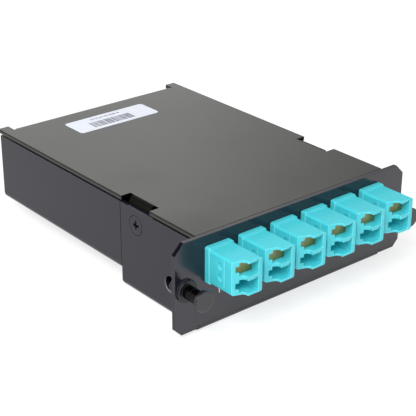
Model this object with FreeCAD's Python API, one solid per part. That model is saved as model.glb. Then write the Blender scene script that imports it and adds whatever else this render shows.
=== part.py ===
"""Fibre cassette: a folded steel box behind a front panel with six LC duplex adapters.

The panel is held to its enclosure by two push-pull plungers. Inside, one twelve-fibre MPO plug
feeds a breakout block, and twelve buffered fibres fan out from it to the LC plugs behind the panel.

Axes while modelling: X runs along the panel, Y = 0 is the panel's front face and grows towards the
rear, Z = 0 is the underside of the front floor. Every piece is then moved by ORIGIN_SHIFT, so that the
origin is under the middle of the whole box, on the surface it stands on. Sizes are millimetres.
"""
import FreeCAD, Part
import math
import os

V = FreeCAD.Vector

# ---- folded sheet -----------------------------------------------------------------------------
SHEET = 1.6            # thickness of chassis and cover
BEND_IN = 0.8          # inside radius of every fold
FOLD_GAP = 0.3         # gap left between two folded edges that meet
SEAM_GAP = 0.4         # gap between the front and the rear part of a side wall
COVER_GAP = 0.8        # gap between the walls' upper edges and the cover
PANEL_H = 36.1         # box's underside to the upper edge of panel and cover
EAR_LIFT = 1.6         # box's underside to the lower edge of the panel's ears
EAR_W = 10.2           # how far the panel stands out past the box on each side
TOP_CHAMFER = 3.7      # 45 degree corners of the panel
LOW_CHAMFER = 2.7
ROW_MARGIN = 2.85      # outermost adapter's side to the outside of the side wall
FOOT_MARGIN = 0.4      # end of the fold under the panel to the outside of the side wall
FRONT_DEPTH = 44.1     # panel front to the step in the floor
BODY_DEPTH = 126.3     # panel front to the rear end of the side walls
STEP = 6.2             # how far the rear floor is above the front floor
RELIEF_W = 0.4         # width of the bend reliefs beside a fold
REAR_RECESS = 1.1      # rear end of the side walls to the outside of the cover's lip
REAR_CORNER_SLOPE = 1 / 3.0   # rise over run of the cut under each lower rear corner
WALL_HOLE_R = 3.2      # round hole low in each side wall
WALL_HOLE_Y = 15.4
WALL_HOLE_Z = 12.1

# ---- cover ------------------------------------------------------------------------------------
LIP_H = 5.0            # height of the cover's rear lip, over the fold
COVER_OVERHANG = 1.2   # how far the cover's rear corners reach past the side walls
CORNER_TAB_W = 4.5     # flat tab left at each rear corner of the cover
CORNER_SLOT_W = 1.5    # bend relief between that tab and the lip
NOTCH_FROM_STEP = 8.95 # middle of the cover's side notches and screw tabs to the floor's step
NOTCH_LENGTH = 16.6
TAB_LENGTH = 12.3
TAB_HEIGHT = 13.0      # how far the screw tabs reach below the cover's top
TAB_CLEARANCE = 0.1    # tab to the inside of the side wall

# ---- cover screws -----------------------------------------------------------------------------
SCREW_FROM_TOP = 8.7   # screw's axis below the cover's top
SCREW_R = 1.75
SCREW_HEAD_R = 3.5     # 90 degree countersunk head, flush with the wall
SCREW_LENGTH = 6.0
SCREW_CLEARANCE = 0.03
PHILLIPS_SPAN = 3.7    # cross recess, tip to tip
PHILLIPS_WIDTH = 1.1
PHILLIPS_DEPTH = 1.2
PHILLIPS_END_SPAN = 1.2   # the same at the bottom of the recess
PHILLIPS_END_WIDTH = 0.4

# ---- plungers ---------------------------------------------------------------------------------
PLUNGER_FROM_BODY = 5.4   # plunger's axis to the outside of the side wall
PLUNGER_Z = 18.2
PLUNGER_TRAVEL = 6.9   # pulled out as drawn, pushed in by this much to lock
PIN_R = 2.5
PIN_CLEARANCE = 0.06
KNOB_RIM = 1.35        # how far the knob stands out round the pin
KNOB_T = 1.6
COLLAR_RIM = 0.6       # how far the collar covers the panel round its hole
COLLAR_T = 1.2
BARREL_WALL = 0.74     # barrel behind the panel, where it enters the enclosure
BARREL_SEAT = 0.25     # how much thicker it is inside the panel's own hole
BARREL_CLEARANCE = 0.08
BARREL_REACH = 3.4     # how far the grommet's barrel stands out behind the panel
BARREL_SLOT_W = 0.8
KNOB_EDGE = 0.35       # rounding of knob and collar
TIP_CHAMFER = 0.8      # at the inner end of the pin
GROOVE_W = 0.8         # ring groove round the pin, half way along its travel
GROOVE_DEPTH = 0.18

# ---- LC duplex adapters -----------------------------------------------------------------------
ADAPTER_COUNT = 6
ADAPTER_PITCH = 14.74
ADAPTER_FROM_TOP = 10.9   # adapter's middle below the panel's top
ADAPTER_FRONT = 16.8   # right side wall, in front of the panel
ADAPTER_LATCH_SIDE = 13.5   # left side wall, in front of the panel
ADAPTER_REAR = 12.0    # behind the panel's front face
ADAPTER_EDGE = 0.8     # rounding of its long edges
STEP_START_X = 3.0     # where the stepped front leaves the left side's slope
STEP_START_Y = 14.5
STEP_END_X = 4.4       # where it reaches the full length
STEP_SAG = 0.625       # how far the step's arc is hollow
FLANGE_T = 2.1
FLANGE_SIDE = 0.2
FLANGE_TOP = 0.55
CUTOUT_CLEARANCE = 0.1
PORT_PITCH = 6.25      # the two ports of one duplex adapter
PORT_H = 4.8
PORT_W = 7.65          # room of a port, over its latch slot
PORT_WALL = 0.775      # housing above the upper port and below the lower one
PORT_LEFT = 1.35       # thickness of the wall on the latch side
PORT_RIGHT = 1.6       # thickness of the wall on the other side
LATCH_SLOT_W = 1.25    # narrow part of the port's mouth
LATCH_SLOT_H = 2.4
KEY_NOTCH_W = 0.9
KEY_NOTCH_H = 0.45
SLEEVE_LENGTH = 6.8
SLEEVE_R = 0.8
FERRULE_R = 0.625
FERRULE_FIT = 0.012
SLEEVE_FIT = 0.03
SLEEVE_SLIT = 0.2
TUBE_R = 1.5           # sleeve holder inside the adapter
TUBE_END = 0.4         # lip that keeps the sleeve in
SLEEVE_END_GAP = 0.2   # sleeve to that lip
BULKHEAD_T = 4.0
MARK_DEPTH = 0.7       # two oval pockets in the adapter's side
MARK_LENGTH = 2.7
MARK_WIDTH = 2.2
MARK_Y = 7.7
MARK_Z = 0.45          # middle of the two above the adapter's middle
MARK_DZ = 2.1
WITNESS_DEPTH = 0.15   # fine line across the adapter's side
WITNESS_Y = 10.0
WITNESS_W = 0.35

# ---- spring shutter in each upper port --------------------------------------------------------
SHUTTER_SETBACK = 0.2   # lip in front of the leaf, from the left wall's front
SHUTTER_T = 0.35
SHUTTER_BARREL_R = 0.45
TRUNNION_R = 0.3
TRUNNION_LENGTH = 0.4
TRUNNION_CLEARANCE = 0.04
SHUTTER_SIDE_GAP = 0.12
SHUTTER_LIP_GAP = 0.05

# ---- adapter retaining clips ------------------------------------------------------------------
CLIP_T = 0.3
CLIP_LENGTH = 6.5
CLIP_GAP = 0.1         # clip to panel
CLIP_DROP = 9.0        # how far its legs reach down the sides
CLIP_BARB = 0.7        # how far a barb stands out sideways
CLIP_BARB_H = 4.0
CLIP_BARB_LENGTH = 3.25

# ---- LC plugs inside --------------------------------------------------------------------------
PLUG_SIDE = 4.5
PLUG_START = 0.6       # behind the bulkhead
PLUG_LENGTH = 13.6
PLUG_LEVER_T = 0.7
PLUG_LEVER_W = 2.0
PLUG_LEVER_RISE = 1.9
PLUG_LEVER_SETBACK = 1.9   # lever's root, behind the plug's front
PLUG_LEVER_LIP = 0.23
FERRULE_TIP_GAP = 0.05
FERRULE_LENGTH = 8.4
BOOT_LENGTH = 9.0
BOOT_R = 1.9
BOOT_TIP_R = 0.95
FIBRE_R = 0.45
FIBRE_FIT = 0.03

# ---- breakout block, trunk and MPO ------------------------------------------------------------
FIBRE_STRAIGHT = 3.2   # straight stretch of fibre behind its boot
FIBRE_BEND_R = 8.0
BLOCK_LENGTH = 16.0
BLOCK_W = 12.0
BLOCK_H = 10.4
BLOCK_EDGE = 1.0
BLOCK_PITCH = 1.4      # between fibres where they enter the block
BLOCK_ENTRY = 3.0
CRADLE_T = 1.8
CRADLE_LENGTH = 12.0
CRADLE_FOOT_W = 24.0
CRADLE_HOOK = 0.8
CRADLE_GAP = 0.05
TRUNK_R = 1.5
TRUNK_BARE = 5.6       # trunk cable between the block and the MPO boot
MPO_SIDE_WALL = 1.4
MPO_TOP_WALL = 1.25
MPO_INSIDE = 14.0      # adapter length in front of the rear wall's outside
MPO_OUTSIDE = 13.0     # adapter length behind it
MPO_EDGE = 0.8
MPO_FLANGE_END = 2.6   # screw's axis to the end of the flange
MPO_FLANGE_T = 2.0
MPO_PORT_W = 10.0
MPO_PORT_H = 6.9
MPO_BULKHEAD_T = 1.5
MPO_WINDOW_W = 6.8
MPO_WINDOW_H = 2.9
MPO_KEY_W = 2.5
MPO_KEY_H = 0.6
MPO_HOLE_FROM_SIDE = 2.5   # screw's axis to the adapter's side
MPO_SCREW_R = 1.0
MPO_SCREW_HEAD_R = 1.75
MPO_SCREW_HEAD_T = 1.2
MPO_SCREW_HEAD_EDGE = 0.6
MPO_SCREW_SLOT_W = 0.5
MPO_SCREW_SLOT_DEPTH = 0.6
MPO_SCREW_LENGTH = 7.0
MPO_NUT_ACROSS = 4.0
MPO_NUT_T = 1.6
MPO_FIT = 0.15
MPO_PLUG_W = 12.4
MPO_PLUG_H = 7.8
MPO_SLEEVE_LENGTH = 13.0
MPO_BOOT_LENGTH = 13.0
MPO_BOOT_R = 2.9
MPO_BOOT_TIP_R = 1.9
MPO_GROOVE_COUNT = 4     # grip grooves round the sleeve
MPO_GROOVE_PITCH = 1.6
MPO_GROOVE_W = 0.53
MPO_GROOVE_DEPTH = 0.27

# ---- label ------------------------------------------------------------------------------------
LABEL_X = -2.4
LABEL_FROM_REAR = 18.0
LABEL_L = 39.0
LABEL_W = 13.0
LABEL_T = 0.12
LABEL_CORNER = 1.5

# ---- worked out from the sizes above ----------------------------------------------------------
ADAPTER_W = PORT_LEFT + PORT_W + PORT_RIGHT
ADAPTER_H = PORT_PITCH + PORT_H + 2 * PORT_WALL
ADAPTER_Z = PANEL_H - ADAPTER_FROM_TOP
HALF_ROW = ADAPTER_PITCH * (ADAPTER_COUNT - 1) / 2
BEND_OUT = BEND_IN + SHEET
HALF_BODY = HALF_ROW + ADAPTER_W / 2 + ROW_MARGIN
PANEL_W = 2 * (HALF_BODY + EAR_W)
FOOT_HALF = HALF_BODY - FOOT_MARGIN
FOOT_END = BEND_OUT + RELIEF_W
NOTCH_Y = FRONT_DEPTH - NOTCH_FROM_STEP
SCREW_Z = PANEL_H - SCREW_FROM_TOP
PLUNGER_X = HALF_BODY + PLUNGER_FROM_BODY
KNOB_R = PIN_R + KNOB_RIM
BARREL_R = PIN_R + PIN_CLEARANCE + BARREL_WALL
BARREL_SEAT_R = BARREL_R + BARREL_SEAT
COLLAR_R = BARREL_SEAT_R + COLLAR_RIM
COVER_UNDER = PANEL_H - SHEET
WALL_TOP = COVER_UNDER - COVER_GAP
COVER_END = BODY_DEPTH + COVER_OVERHANG
LIP_Y = BODY_DEPTH - REAR_RECESS
REAR_WALL_Y = LIP_Y - SHEET - FOLD_GAP
REAR_FLOOR_TOP = STEP + SHEET
FERRULE_X = ADAPTER_W / 2 - PORT_RIGHT - PORT_H / 2
MATE_Y = (ADAPTER_REAR - ADAPTER_FRONT) / 2
TUBE_HALF = SLEEVE_LENGTH / 2 + SLEEVE_END_GAP + TUBE_END
CAVITY_Y = -ADAPTER_LATCH_SIDE + SHUTTER_SETBACK
PIVOT_X = -ADAPTER_W / 2 + PORT_LEFT + SHUTTER_BARREL_R + SHUTTER_SIDE_GAP
PIVOT_Y = CAVITY_Y + SHUTTER_LIP_GAP + SHUTTER_BARREL_R
PLUG_Y = MATE_Y + BULKHEAD_T / 2 + PLUG_START
PLUG_END_Y = PLUG_Y + PLUG_LENGTH
FERRULE_Y = MATE_Y + FERRULE_TIP_GAP
KNOB_BACK_Y = -COLLAR_T - PLUNGER_TRAVEL - FOLD_GAP
FANOUT_START_Y = PLUG_END_Y + BOOT_LENGTH + FIBRE_STRAIGHT
MPO_W = MPO_PORT_W + 2 * MPO_SIDE_WALL
MPO_H = MPO_PORT_H + 2 * MPO_TOP_WALL
MPO_HOLE_X = MPO_W / 2 + MPO_HOLE_FROM_SIDE
MPO_FLANGE_W = 2 * (MPO_HOLE_X + MPO_FLANGE_END)
MPO_SLEEVE_END_Y = REAR_WALL_Y - MPO_INSIDE - FOLD_GAP
MPO_SLEEVE_Y = MPO_SLEEVE_END_Y - MPO_SLEEVE_LENGTH
MPO_BOOT_Y = MPO_SLEEVE_Y - MPO_BOOT_LENGTH
BLOCK_END_Y = MPO_BOOT_Y - TRUNK_BARE
BLOCK_Y = BLOCK_END_Y - BLOCK_LENGTH
REARMOST = REAR_WALL_Y + MPO_OUTSIDE
ORIGIN_SHIFT = V(0, (ADAPTER_FRONT - REARMOST) / 2, 0)

X_AXIS = V(1, 0, 0)
Y_AXIS = V(0, 1, 0)
Z_AXIS = V(0, 0, 1)
OVERCUT = 1.0          # how far a cutting tool runs past the face it opens
SAME = 1e-6            # two lengths or directions that differ by less are the same
VOLUME_ERROR = 0.01    # largest share by which a swept fibre may miss its volume


# ---- building blocks --------------------------------------------------------------------------
def box(x, y, z):
    """Box from three (low, high) pairs."""
    return Part.makeBox(x[1] - x[0], y[1] - y[0], z[1] - z[0], V(x[0], y[0], z[0]))


def centred_box(width, y, height, x=0.0, z=0.0):
    """Box of a width and height about (x, z), between two values of Y."""
    return box((x - width / 2, x + width / 2), y, (z - height / 2, z + height / 2))


def rod(radius, y, x=0.0, z=0.0):
    """Cylinder along Y between two values of Y."""
    return Part.makeCylinder(radius, y[1] - y[0], V(x, y[0], z), Y_AXIS)


def cone(radii, y, x=0.0, z=0.0):
    """Cone along Y, with one radius at each end."""
    return Part.makeCone(radii[0], radii[1], y[1] - y[0], V(x, y[0], z), Y_AXIS)


def edges_along(shape, axis):
    """Straight edges of a shape that run along an axis."""
    found = []
    for edge in shape.Edges:
        if not isinstance(edge.Curve, Part.Line):
            continue
        if abs(edge.tangentAt(edge.FirstParameter).dot(axis)) > 1 - SAME:
            found.append(edge)
    return found


def rounded_bar(width, y, height, radius, x=0.0, z=0.0):
    """Box along Y whose four long edges are rounded."""
    bar = centred_box(width, y, height, x, z)
    return bar.makeFillet(radius, edges_along(bar, Y_AXIS))


def extrude_profile(points, direction):
    """Solid from a closed outline, given as points, pushed along a vector."""
    outline = Part.makePolygon(points + [points[0]])
    return Part.Face(outline).extrude(direction)


def rounded_profile(corners, direction):
    """Solid from a closed outline of (point, corner radius) pairs, pushed along a vector.

    A corner of radius r is replaced by an arc that touches both of its sides: it starts and ends
    r / tan(half the corner's angle) from the corner.
    """
    count = len(corners)
    arcs = []
    for i, (corner, radius) in enumerate(corners):
        if radius == 0:
            arcs.append((corner, None, corner))
            continue
        back = (corners[i - 1][0] - corner).normalize()
        ahead = (corners[(i + 1) % count][0] - corner).normalize()
        half_angle = back.getAngle(ahead) / 2
        bisector = (back + ahead).normalize()
        reach = radius / math.tan(half_angle)
        middle = corner + bisector * (radius / math.sin(half_angle) - radius)
        arcs.append((corner + back * reach, middle, corner + ahead * reach))
    edges = []
    for i, (start, middle, end) in enumerate(arcs):
        before = arcs[i - 1][2]
        if before.distanceToPoint(start) > SAME:
            edges.append(Part.LineSegment(before, start).toShape())
        if middle is not None:
            edges.append(Part.Arc(start, middle, end).toShape())
    return Part.Face(Part.Wire(edges)).extrude(direction)


def mirrored(shape):
    """The same piece on the other side of the box."""
    return shape.mirror(V(0, 0, 0), X_AXIS)


def one_solid(shape):
    """Merge faces that lie in one plane, and check that one closed solid is left."""
    clean = shape.removeSplitter()
    if len(clean.Solids) != 1:
        raise ValueError("expected one solid, found %d" % len(clean.Solids))
    return clean.Solids[0]


# ---- chassis ----------------------------------------------------------------------------------
def floor_strip():
    """Panel foot, front floor, step, rear floor and rear wall: one strip folded across X."""
    half = HALF_BODY - BEND_OUT
    outline = [(0, FOOT_END, 0), (0, 0, BEND_OUT), (FRONT_DEPTH, 0, BEND_OUT),
               (FRONT_DEPTH, STEP, BEND_IN), (REAR_WALL_Y, STEP, BEND_OUT),
               (REAR_WALL_Y, WALL_TOP, 0), (REAR_WALL_Y - SHEET, WALL_TOP, 0),
               (REAR_WALL_Y - SHEET, REAR_FLOOR_TOP, BEND_IN),
               (FRONT_DEPTH - SHEET, REAR_FLOOR_TOP, BEND_OUT),
               (FRONT_DEPTH - SHEET, SHEET, BEND_IN), (SHEET, SHEET, BEND_IN), (SHEET, FOOT_END, 0)]
    corners = [(V(-half, y, z), radius) for y, z, radius in outline]
    return rounded_profile(corners, V(2 * half, 0, 0))


def foot_fold():
    """Fold under the panel, which reaches further out on both sides than the floor behind it."""
    outline = [(0, FOOT_END, 0), (0, 0, BEND_OUT), (BEND_OUT, 0, 0), (BEND_OUT, SHEET, 0),
               (SHEET, SHEET, BEND_IN), (SHEET, FOOT_END, 0)]
    corners = [(V(-FOOT_HALF, y, z), radius) for y, z, radius in outline]
    return rounded_profile(corners, V(2 * FOOT_HALF, 0, 0))


def side_fold(y, z0):
    """Left side wall with the fold that joins it to a floor at height z0."""
    root = HALF_BODY - BEND_OUT
    outline = [(-root, z0, 0), (-HALF_BODY, z0, BEND_OUT), (-HALF_BODY, WALL_TOP, 0),
               (SHEET - HALF_BODY, WALL_TOP, 0), (SHEET - HALF_BODY, z0 + SHEET, BEND_IN),
               (-root, z0 + SHEET, 0)]
    corners = [(V(x, y[0], z), radius) for x, z, radius in outline]
    return rounded_profile(corners, V(0, y[1] - y[0], 0))


def rear_wall_corner():
    """Cutter for the lower rear corner of a rear side wall, past the end of the floor."""
    low = STEP - OVERCUT
    run = BODY_DEPTH + OVERCUT - REAR_WALL_Y
    points = [V(-HALF_BODY - OVERCUT, REAR_WALL_Y - BEND_OUT, low),
              V(-HALF_BODY - OVERCUT, BODY_DEPTH + OVERCUT, low),
              V(-HALF_BODY - OVERCUT, BODY_DEPTH + OVERCUT, STEP + run * REAR_CORNER_SLOPE),
              V(-HALF_BODY - OVERCUT, REAR_WALL_Y, STEP)]
    return extrude_profile(points, V(BEND_OUT + 2 * OVERCUT, 0, 0))


def front_panel():
    """Panel with 45 degree corners, cut away where the floor strip folds back from it."""
    half = PANEL_W / 2
    low = EAR_LIFT
    foot = half - LOW_CHAMFER
    head = half - TOP_CHAMFER
    points = [V(-half, 0, low + LOW_CHAMFER), V(-foot, 0, low), V(foot, 0, low),
              V(half, 0, low + LOW_CHAMFER), V(half, 0, PANEL_H - TOP_CHAMFER),
              V(head, 0, PANEL_H), V(-head, 0, PANEL_H), V(-half, 0, PANEL_H - TOP_CHAMFER)]
    panel = extrude_profile(points, V(0, SHEET, 0))
    fold_half = FOOT_HALF + RELIEF_W
    fold_room = box((-fold_half, fold_half), (-OVERCUT, SHEET + OVERCUT), (-OVERCUT, FOOT_END))
    return panel.cut(fold_room)


def adapter_centres():
    """X of each adapter, from left to right."""
    return [i * ADAPTER_PITCH - HALF_ROW for i in range(ADAPTER_COUNT)]


def chassis():
    """One folded sheet: panel, two floors with a step, four side walls and the rear wall."""
    root = HALF_BODY - BEND_OUT
    foot_relief = box((-HALF_BODY - OVERCUT, -root), (0, FOOT_END), (-OVERCUT, FOOT_END))
    front_fold = side_fold((SHEET + FOLD_GAP, FRONT_DEPTH), 0).cut(foot_relief)
    rear_fold = side_fold((FRONT_DEPTH + SEAM_GAP, BODY_DEPTH), STEP).cut(rear_wall_corner())
    body = front_panel().fuse([foot_fold(), floor_strip(), front_fold, rear_fold,
                               mirrored(front_fold), mirrored(rear_fold)])
    through_panel = (-OVERCUT, SHEET + OVERCUT)
    cutters = []
    for x in adapter_centres():
        window_w = ADAPTER_W + 2 * CUTOUT_CLEARANCE
        window_h = ADAPTER_H + 2 * CUTOUT_CLEARANCE
        cutters.append(centred_box(window_w, through_panel, window_h, x, ADAPTER_Z))
    for side in (-1, 1):
        cutters.append(rod(BARREL_SEAT_R + BARREL_CLEARANCE, through_panel, side * PLUNGER_X, PLUNGER_Z))
        wall_x = side * (HALF_BODY + OVERCUT)
        inward = V(-side, 0, 0)
        cutters.append(Part.makeCylinder(WALL_HOLE_R, BEND_OUT + OVERCUT,
                                         V(wall_x, WALL_HOLE_Y, WALL_HOLE_Z), inward))
        cutters.append(screw_seat(side))
        cutters.append(rod(MPO_SCREW_R + SCREW_CLEARANCE,
                           (REAR_WALL_Y - SHEET - OVERCUT, REAR_WALL_Y + OVERCUT),
                           side * MPO_HOLE_X, ADAPTER_Z))
    cutters.append(centred_box(MPO_W + 2 * CUTOUT_CLEARANCE,
                               (REAR_WALL_Y - SHEET - OVERCUT, REAR_WALL_Y + OVERCUT),
                               MPO_H + 2 * CUTOUT_CLEARANCE, 0, ADAPTER_Z))
    return one_solid(body.cut(cutters))


def screw_seat(side):
    """Cutter for a countersunk hole through a side wall and the screw tab behind it."""
    inward = V(-side, 0, 0)
    face = V(side * HALF_BODY, NOTCH_Y, SCREW_Z)
    rim = SCREW_HEAD_R + SCREW_CLEARANCE
    seat = Part.makeCone(rim, 0, rim, face, inward)
    through = 2 * SHEET + TAB_CLEARANCE + OVERCUT
    shank = Part.makeCylinder(SCREW_R + SCREW_CLEARANCE, through, face, inward)
    return seat.fuse(shank)


# ---- cover and its screws ---------------------------------------------------------------------
def cover():
    """Flat lid with a rear lip and two screw tabs folded down from it."""
    front = SHEET + FOLD_GAP
    top = (COVER_UNDER, PANEL_H)
    lip_half = HALF_BODY - CORNER_TAB_W - CORNER_SLOT_W
    slot_start = LIP_Y - BEND_OUT
    lid = box((-HALF_BODY, HALF_BODY), (front, COVER_END), top)
    past_lid = (COVER_UNDER - OVERCUT, PANEL_H + OVERCUT)
    tab_face = HALF_BODY - SHEET - TAB_CLEARANCE
    for side in (-1, 1):
        slot_x = sorted((side * lip_half, side * (HALF_BODY - CORNER_TAB_W)))
        lid = lid.cut(box(slot_x, (slot_start, COVER_END + OVERCUT), past_lid))
        notch_x = sorted((side * (tab_face - BEND_OUT), side * (HALF_BODY + OVERCUT)))
        notch_y = (NOTCH_Y - NOTCH_LENGTH / 2, NOTCH_Y + NOTCH_LENGTH / 2)
        lid = lid.cut(box(notch_x, notch_y, past_lid))
    lid = lid.cut(box((-lip_half, lip_half), (slot_start, COVER_END + OVERCUT), past_lid))
    pieces = [rear_lip(lip_half)]
    for side in (-1, 1):
        pieces.append(screw_tab(side, tab_face))
    return one_solid(lid.fuse(pieces))


def rear_lip(half):
    """Strip that folds down at the rear of the lid."""
    start = LIP_Y - BEND_OUT
    bottom = PANEL_H - LIP_H
    outline = [(start, PANEL_H, 0), (LIP_Y, PANEL_H, BEND_OUT), (LIP_Y, bottom, 0),
               (LIP_Y - SHEET, bottom, 0), (LIP_Y - SHEET, COVER_UNDER, BEND_IN),
               (start, COVER_UNDER, 0)]
    corners = [(V(-half, y, z), radius) for y, z, radius in outline]
    return rounded_profile(corners, V(2 * half, 0, 0))


def screw_tab(side, face):
    """Tab that folds down inside a side wall and takes the cover screw."""
    y0 = NOTCH_Y - TAB_LENGTH / 2
    bottom = PANEL_H - TAB_HEIGHT
    start = face - BEND_OUT
    outline = [(-start, PANEL_H, 0), (-face, PANEL_H, BEND_OUT), (-face, bottom, 0),
               (SHEET - face, bottom, 0), (SHEET - face, COVER_UNDER, BEND_IN),
               (-start, COVER_UNDER, 0)]
    corners = [(V(x, y0, z), radius) for x, z, radius in outline]
    tab = rounded_profile(corners, V(0, TAB_LENGTH, 0))
    tab = tab.cut(screw_seat(-1))
    if side > 0:
        return mirrored(tab)
    return tab


def cover_screw():
    """Left cover screw: countersunk head with a cross recess, and a plain shank."""
    face = V(-HALF_BODY, NOTCH_Y, SCREW_Z)
    cone_depth = SCREW_HEAD_R - SCREW_R
    head = Part.makeCone(SCREW_HEAD_R, SCREW_R, cone_depth, face, X_AXIS)
    shank = Part.makeCylinder(SCREW_R, SCREW_LENGTH, face, X_AXIS)
    screw = head.fuse(shank)
    into_face = FreeCAD.Rotation(Y_AXIS, X_AXIS)
    for turn in (0, 90):
        arm = Part.makeWedge(-PHILLIPS_WIDTH / 2, 0, -PHILLIPS_SPAN / 2,
                             -PHILLIPS_END_SPAN / 2, -PHILLIPS_END_WIDTH / 2,
                             PHILLIPS_WIDTH / 2, PHILLIPS_DEPTH, PHILLIPS_SPAN / 2,
                             PHILLIPS_END_SPAN / 2, PHILLIPS_END_WIDTH / 2)
        arm.Placement = FreeCAD.Placement(face, FreeCAD.Rotation(X_AXIS, turn).multiply(into_face))
        screw = screw.cut(arm)
    return one_solid(screw)


# ---- plungers ---------------------------------------------------------------------------------
def round_rim(shape, radius, y, size):
    """Round the circular edges of one radius that lie at one value of Y."""
    chosen = []
    for edge in shape.Edges:
        curve = edge.Curve
        if not isinstance(curve, Part.Circle):
            continue
        if abs(curve.Radius - radius) < SAME and abs(curve.Center.y - y) < SAME:
            chosen.append(edge)
    return shape.makeFillet(size, chosen)


def grommet():
    """Collar in front of the panel and a slotted barrel through it, about the Y axis."""
    end = SHEET + BARREL_REACH
    collar = round_rim(rod(COLLAR_R, (-COLLAR_T, 0)), COLLAR_R, -COLLAR_T, KNOB_EDGE)
    body = collar.fuse([rod(BARREL_SEAT_R, (0, SHEET)), rod(BARREL_R, (SHEET, end))])
    body = body.cut(rod(PIN_R + PIN_CLEARANCE, (-COLLAR_T - OVERCUT, end + OVERCUT)))
    slot = centred_box(BARREL_SLOT_W, (SHEET + BARREL_SLOT_W, end + OVERCUT), 2 * BARREL_R + OVERCUT)
    cross = slot.copy()
    cross.rotate(V(0, 0, 0), Y_AXIS, 90)
    return one_solid(body.cut([slot, cross]))


def plunger():
    """Knob and pin that slide in the grommet, about the Y axis, drawn pulled out."""
    knob = rod(KNOB_R, (KNOB_BACK_Y - KNOB_T, KNOB_BACK_Y))
    knob = round_rim(knob, KNOB_R, KNOB_BACK_Y - KNOB_T, KNOB_EDGE)
    knob = round_rim(knob, KNOB_R, KNOB_BACK_Y, KNOB_EDGE)
    tip = cone((PIN_R, PIN_R - TIP_CHAMFER), (SHEET, SHEET + TIP_CHAMFER))
    shaft = rod(PIN_R, (KNOB_BACK_Y, SHEET)).fuse(tip)
    groove_y = KNOB_BACK_Y + PLUNGER_TRAVEL / 2
    span = (groove_y, groove_y + GROOVE_W)
    groove = rod(PIN_R + OVERCUT, span).cut(rod(PIN_R - GROOVE_DEPTH, span))
    return one_solid(knob.fuse(shaft).cut(groove))


# ---- LC duplex adapter ------------------------------------------------------------------------
def port_heights():
    """Z of the upper and the lower port of an adapter about its own middle."""
    return [PORT_PITCH / 2, -PORT_PITCH / 2]


def stepped_front():
    """Cutter that leaves the latch side short and steps out to the full length."""
    left = -ADAPTER_W / 2
    low = -ADAPTER_H / 2 - OVERCUT
    start = V(left + STEP_START_X, -STEP_START_Y, low)
    end = V(left + STEP_END_X, -ADAPTER_FRONT, low)
    chord = end - start
    middle = (start + end) * 0.5 + V(-chord.y, chord.x, 0).normalize() * STEP_SAG
    out = -ADAPTER_FRONT - OVERCUT
    corner = V(left, -ADAPTER_LATCH_SIDE, low)
    edges = [Part.LineSegment(corner, start).toShape(),
             Part.Arc(start, middle, end).toShape(),
             Part.LineSegment(end, V(end.x, out, low)).toShape(),
             Part.LineSegment(V(end.x, out, low), V(left - OVERCUT, out, low)).toShape(),
             Part.LineSegment(V(left - OVERCUT, out, low),
                              V(left - OVERCUT, corner.y, low)).toShape(),
             Part.LineSegment(V(left - OVERCUT, corner.y, low), corner).toShape()]
    return Part.Face(Part.Wire(edges)).extrude(V(0, 0, ADAPTER_H + 2 * OVERCUT))


def port_cutter(z):
    """Front mouth, front room and rear room of one port about height z."""
    left = -ADAPTER_W / 2 + PORT_LEFT
    right = ADAPTER_W / 2 - PORT_RIGHT
    mouth = (-ADAPTER_FRONT - OVERCUT, CAVITY_Y)
    tall = (z - PORT_H / 2, z + PORT_H / 2)
    slot = box((left, left + LATCH_SLOT_W), mouth, (z - LATCH_SLOT_H / 2, z + LATCH_SLOT_H / 2))
    main = box((left + LATCH_SLOT_W, right), mouth, tall)
    notch = box((right - KEY_NOTCH_W, right), mouth, (tall[1], tall[1] + KEY_NOTCH_H))
    front_room = box((left, right), (CAVITY_Y, MATE_Y - BULKHEAD_T / 2), tall)
    rear_room = box((left, right), (MATE_Y + BULKHEAD_T / 2, ADAPTER_REAR + OVERCUT), tall)
    return slot.fuse([main, notch, front_room, rear_room])


def side_marks():
    """Two oval pockets and a witness line, cut into the left side."""
    face = -ADAPTER_W / 2
    marks = [box((face - OVERCUT, face + WITNESS_DEPTH), (-WITNESS_Y, -WITNESS_Y + WITNESS_W),
                 (-ADAPTER_H / 2 + 2 * ADAPTER_EDGE, ADAPTER_H / 2 - ADAPTER_EDGE))]
    for z in (MARK_Z + MARK_DZ, MARK_Z - MARK_DZ):
        start = V(face - OVERCUT, -MARK_Y, z)
        oval = Part.Ellipse(start + V(0, 0, MARK_LENGTH / 2), start + V(0, MARK_WIDTH / 2, 0), start)
        face_of_oval = Part.Face(Part.Wire([oval.toShape()]))
        marks.append(face_of_oval.extrude(V(OVERCUT + MARK_DEPTH, 0, 0)))
    return marks


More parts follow.
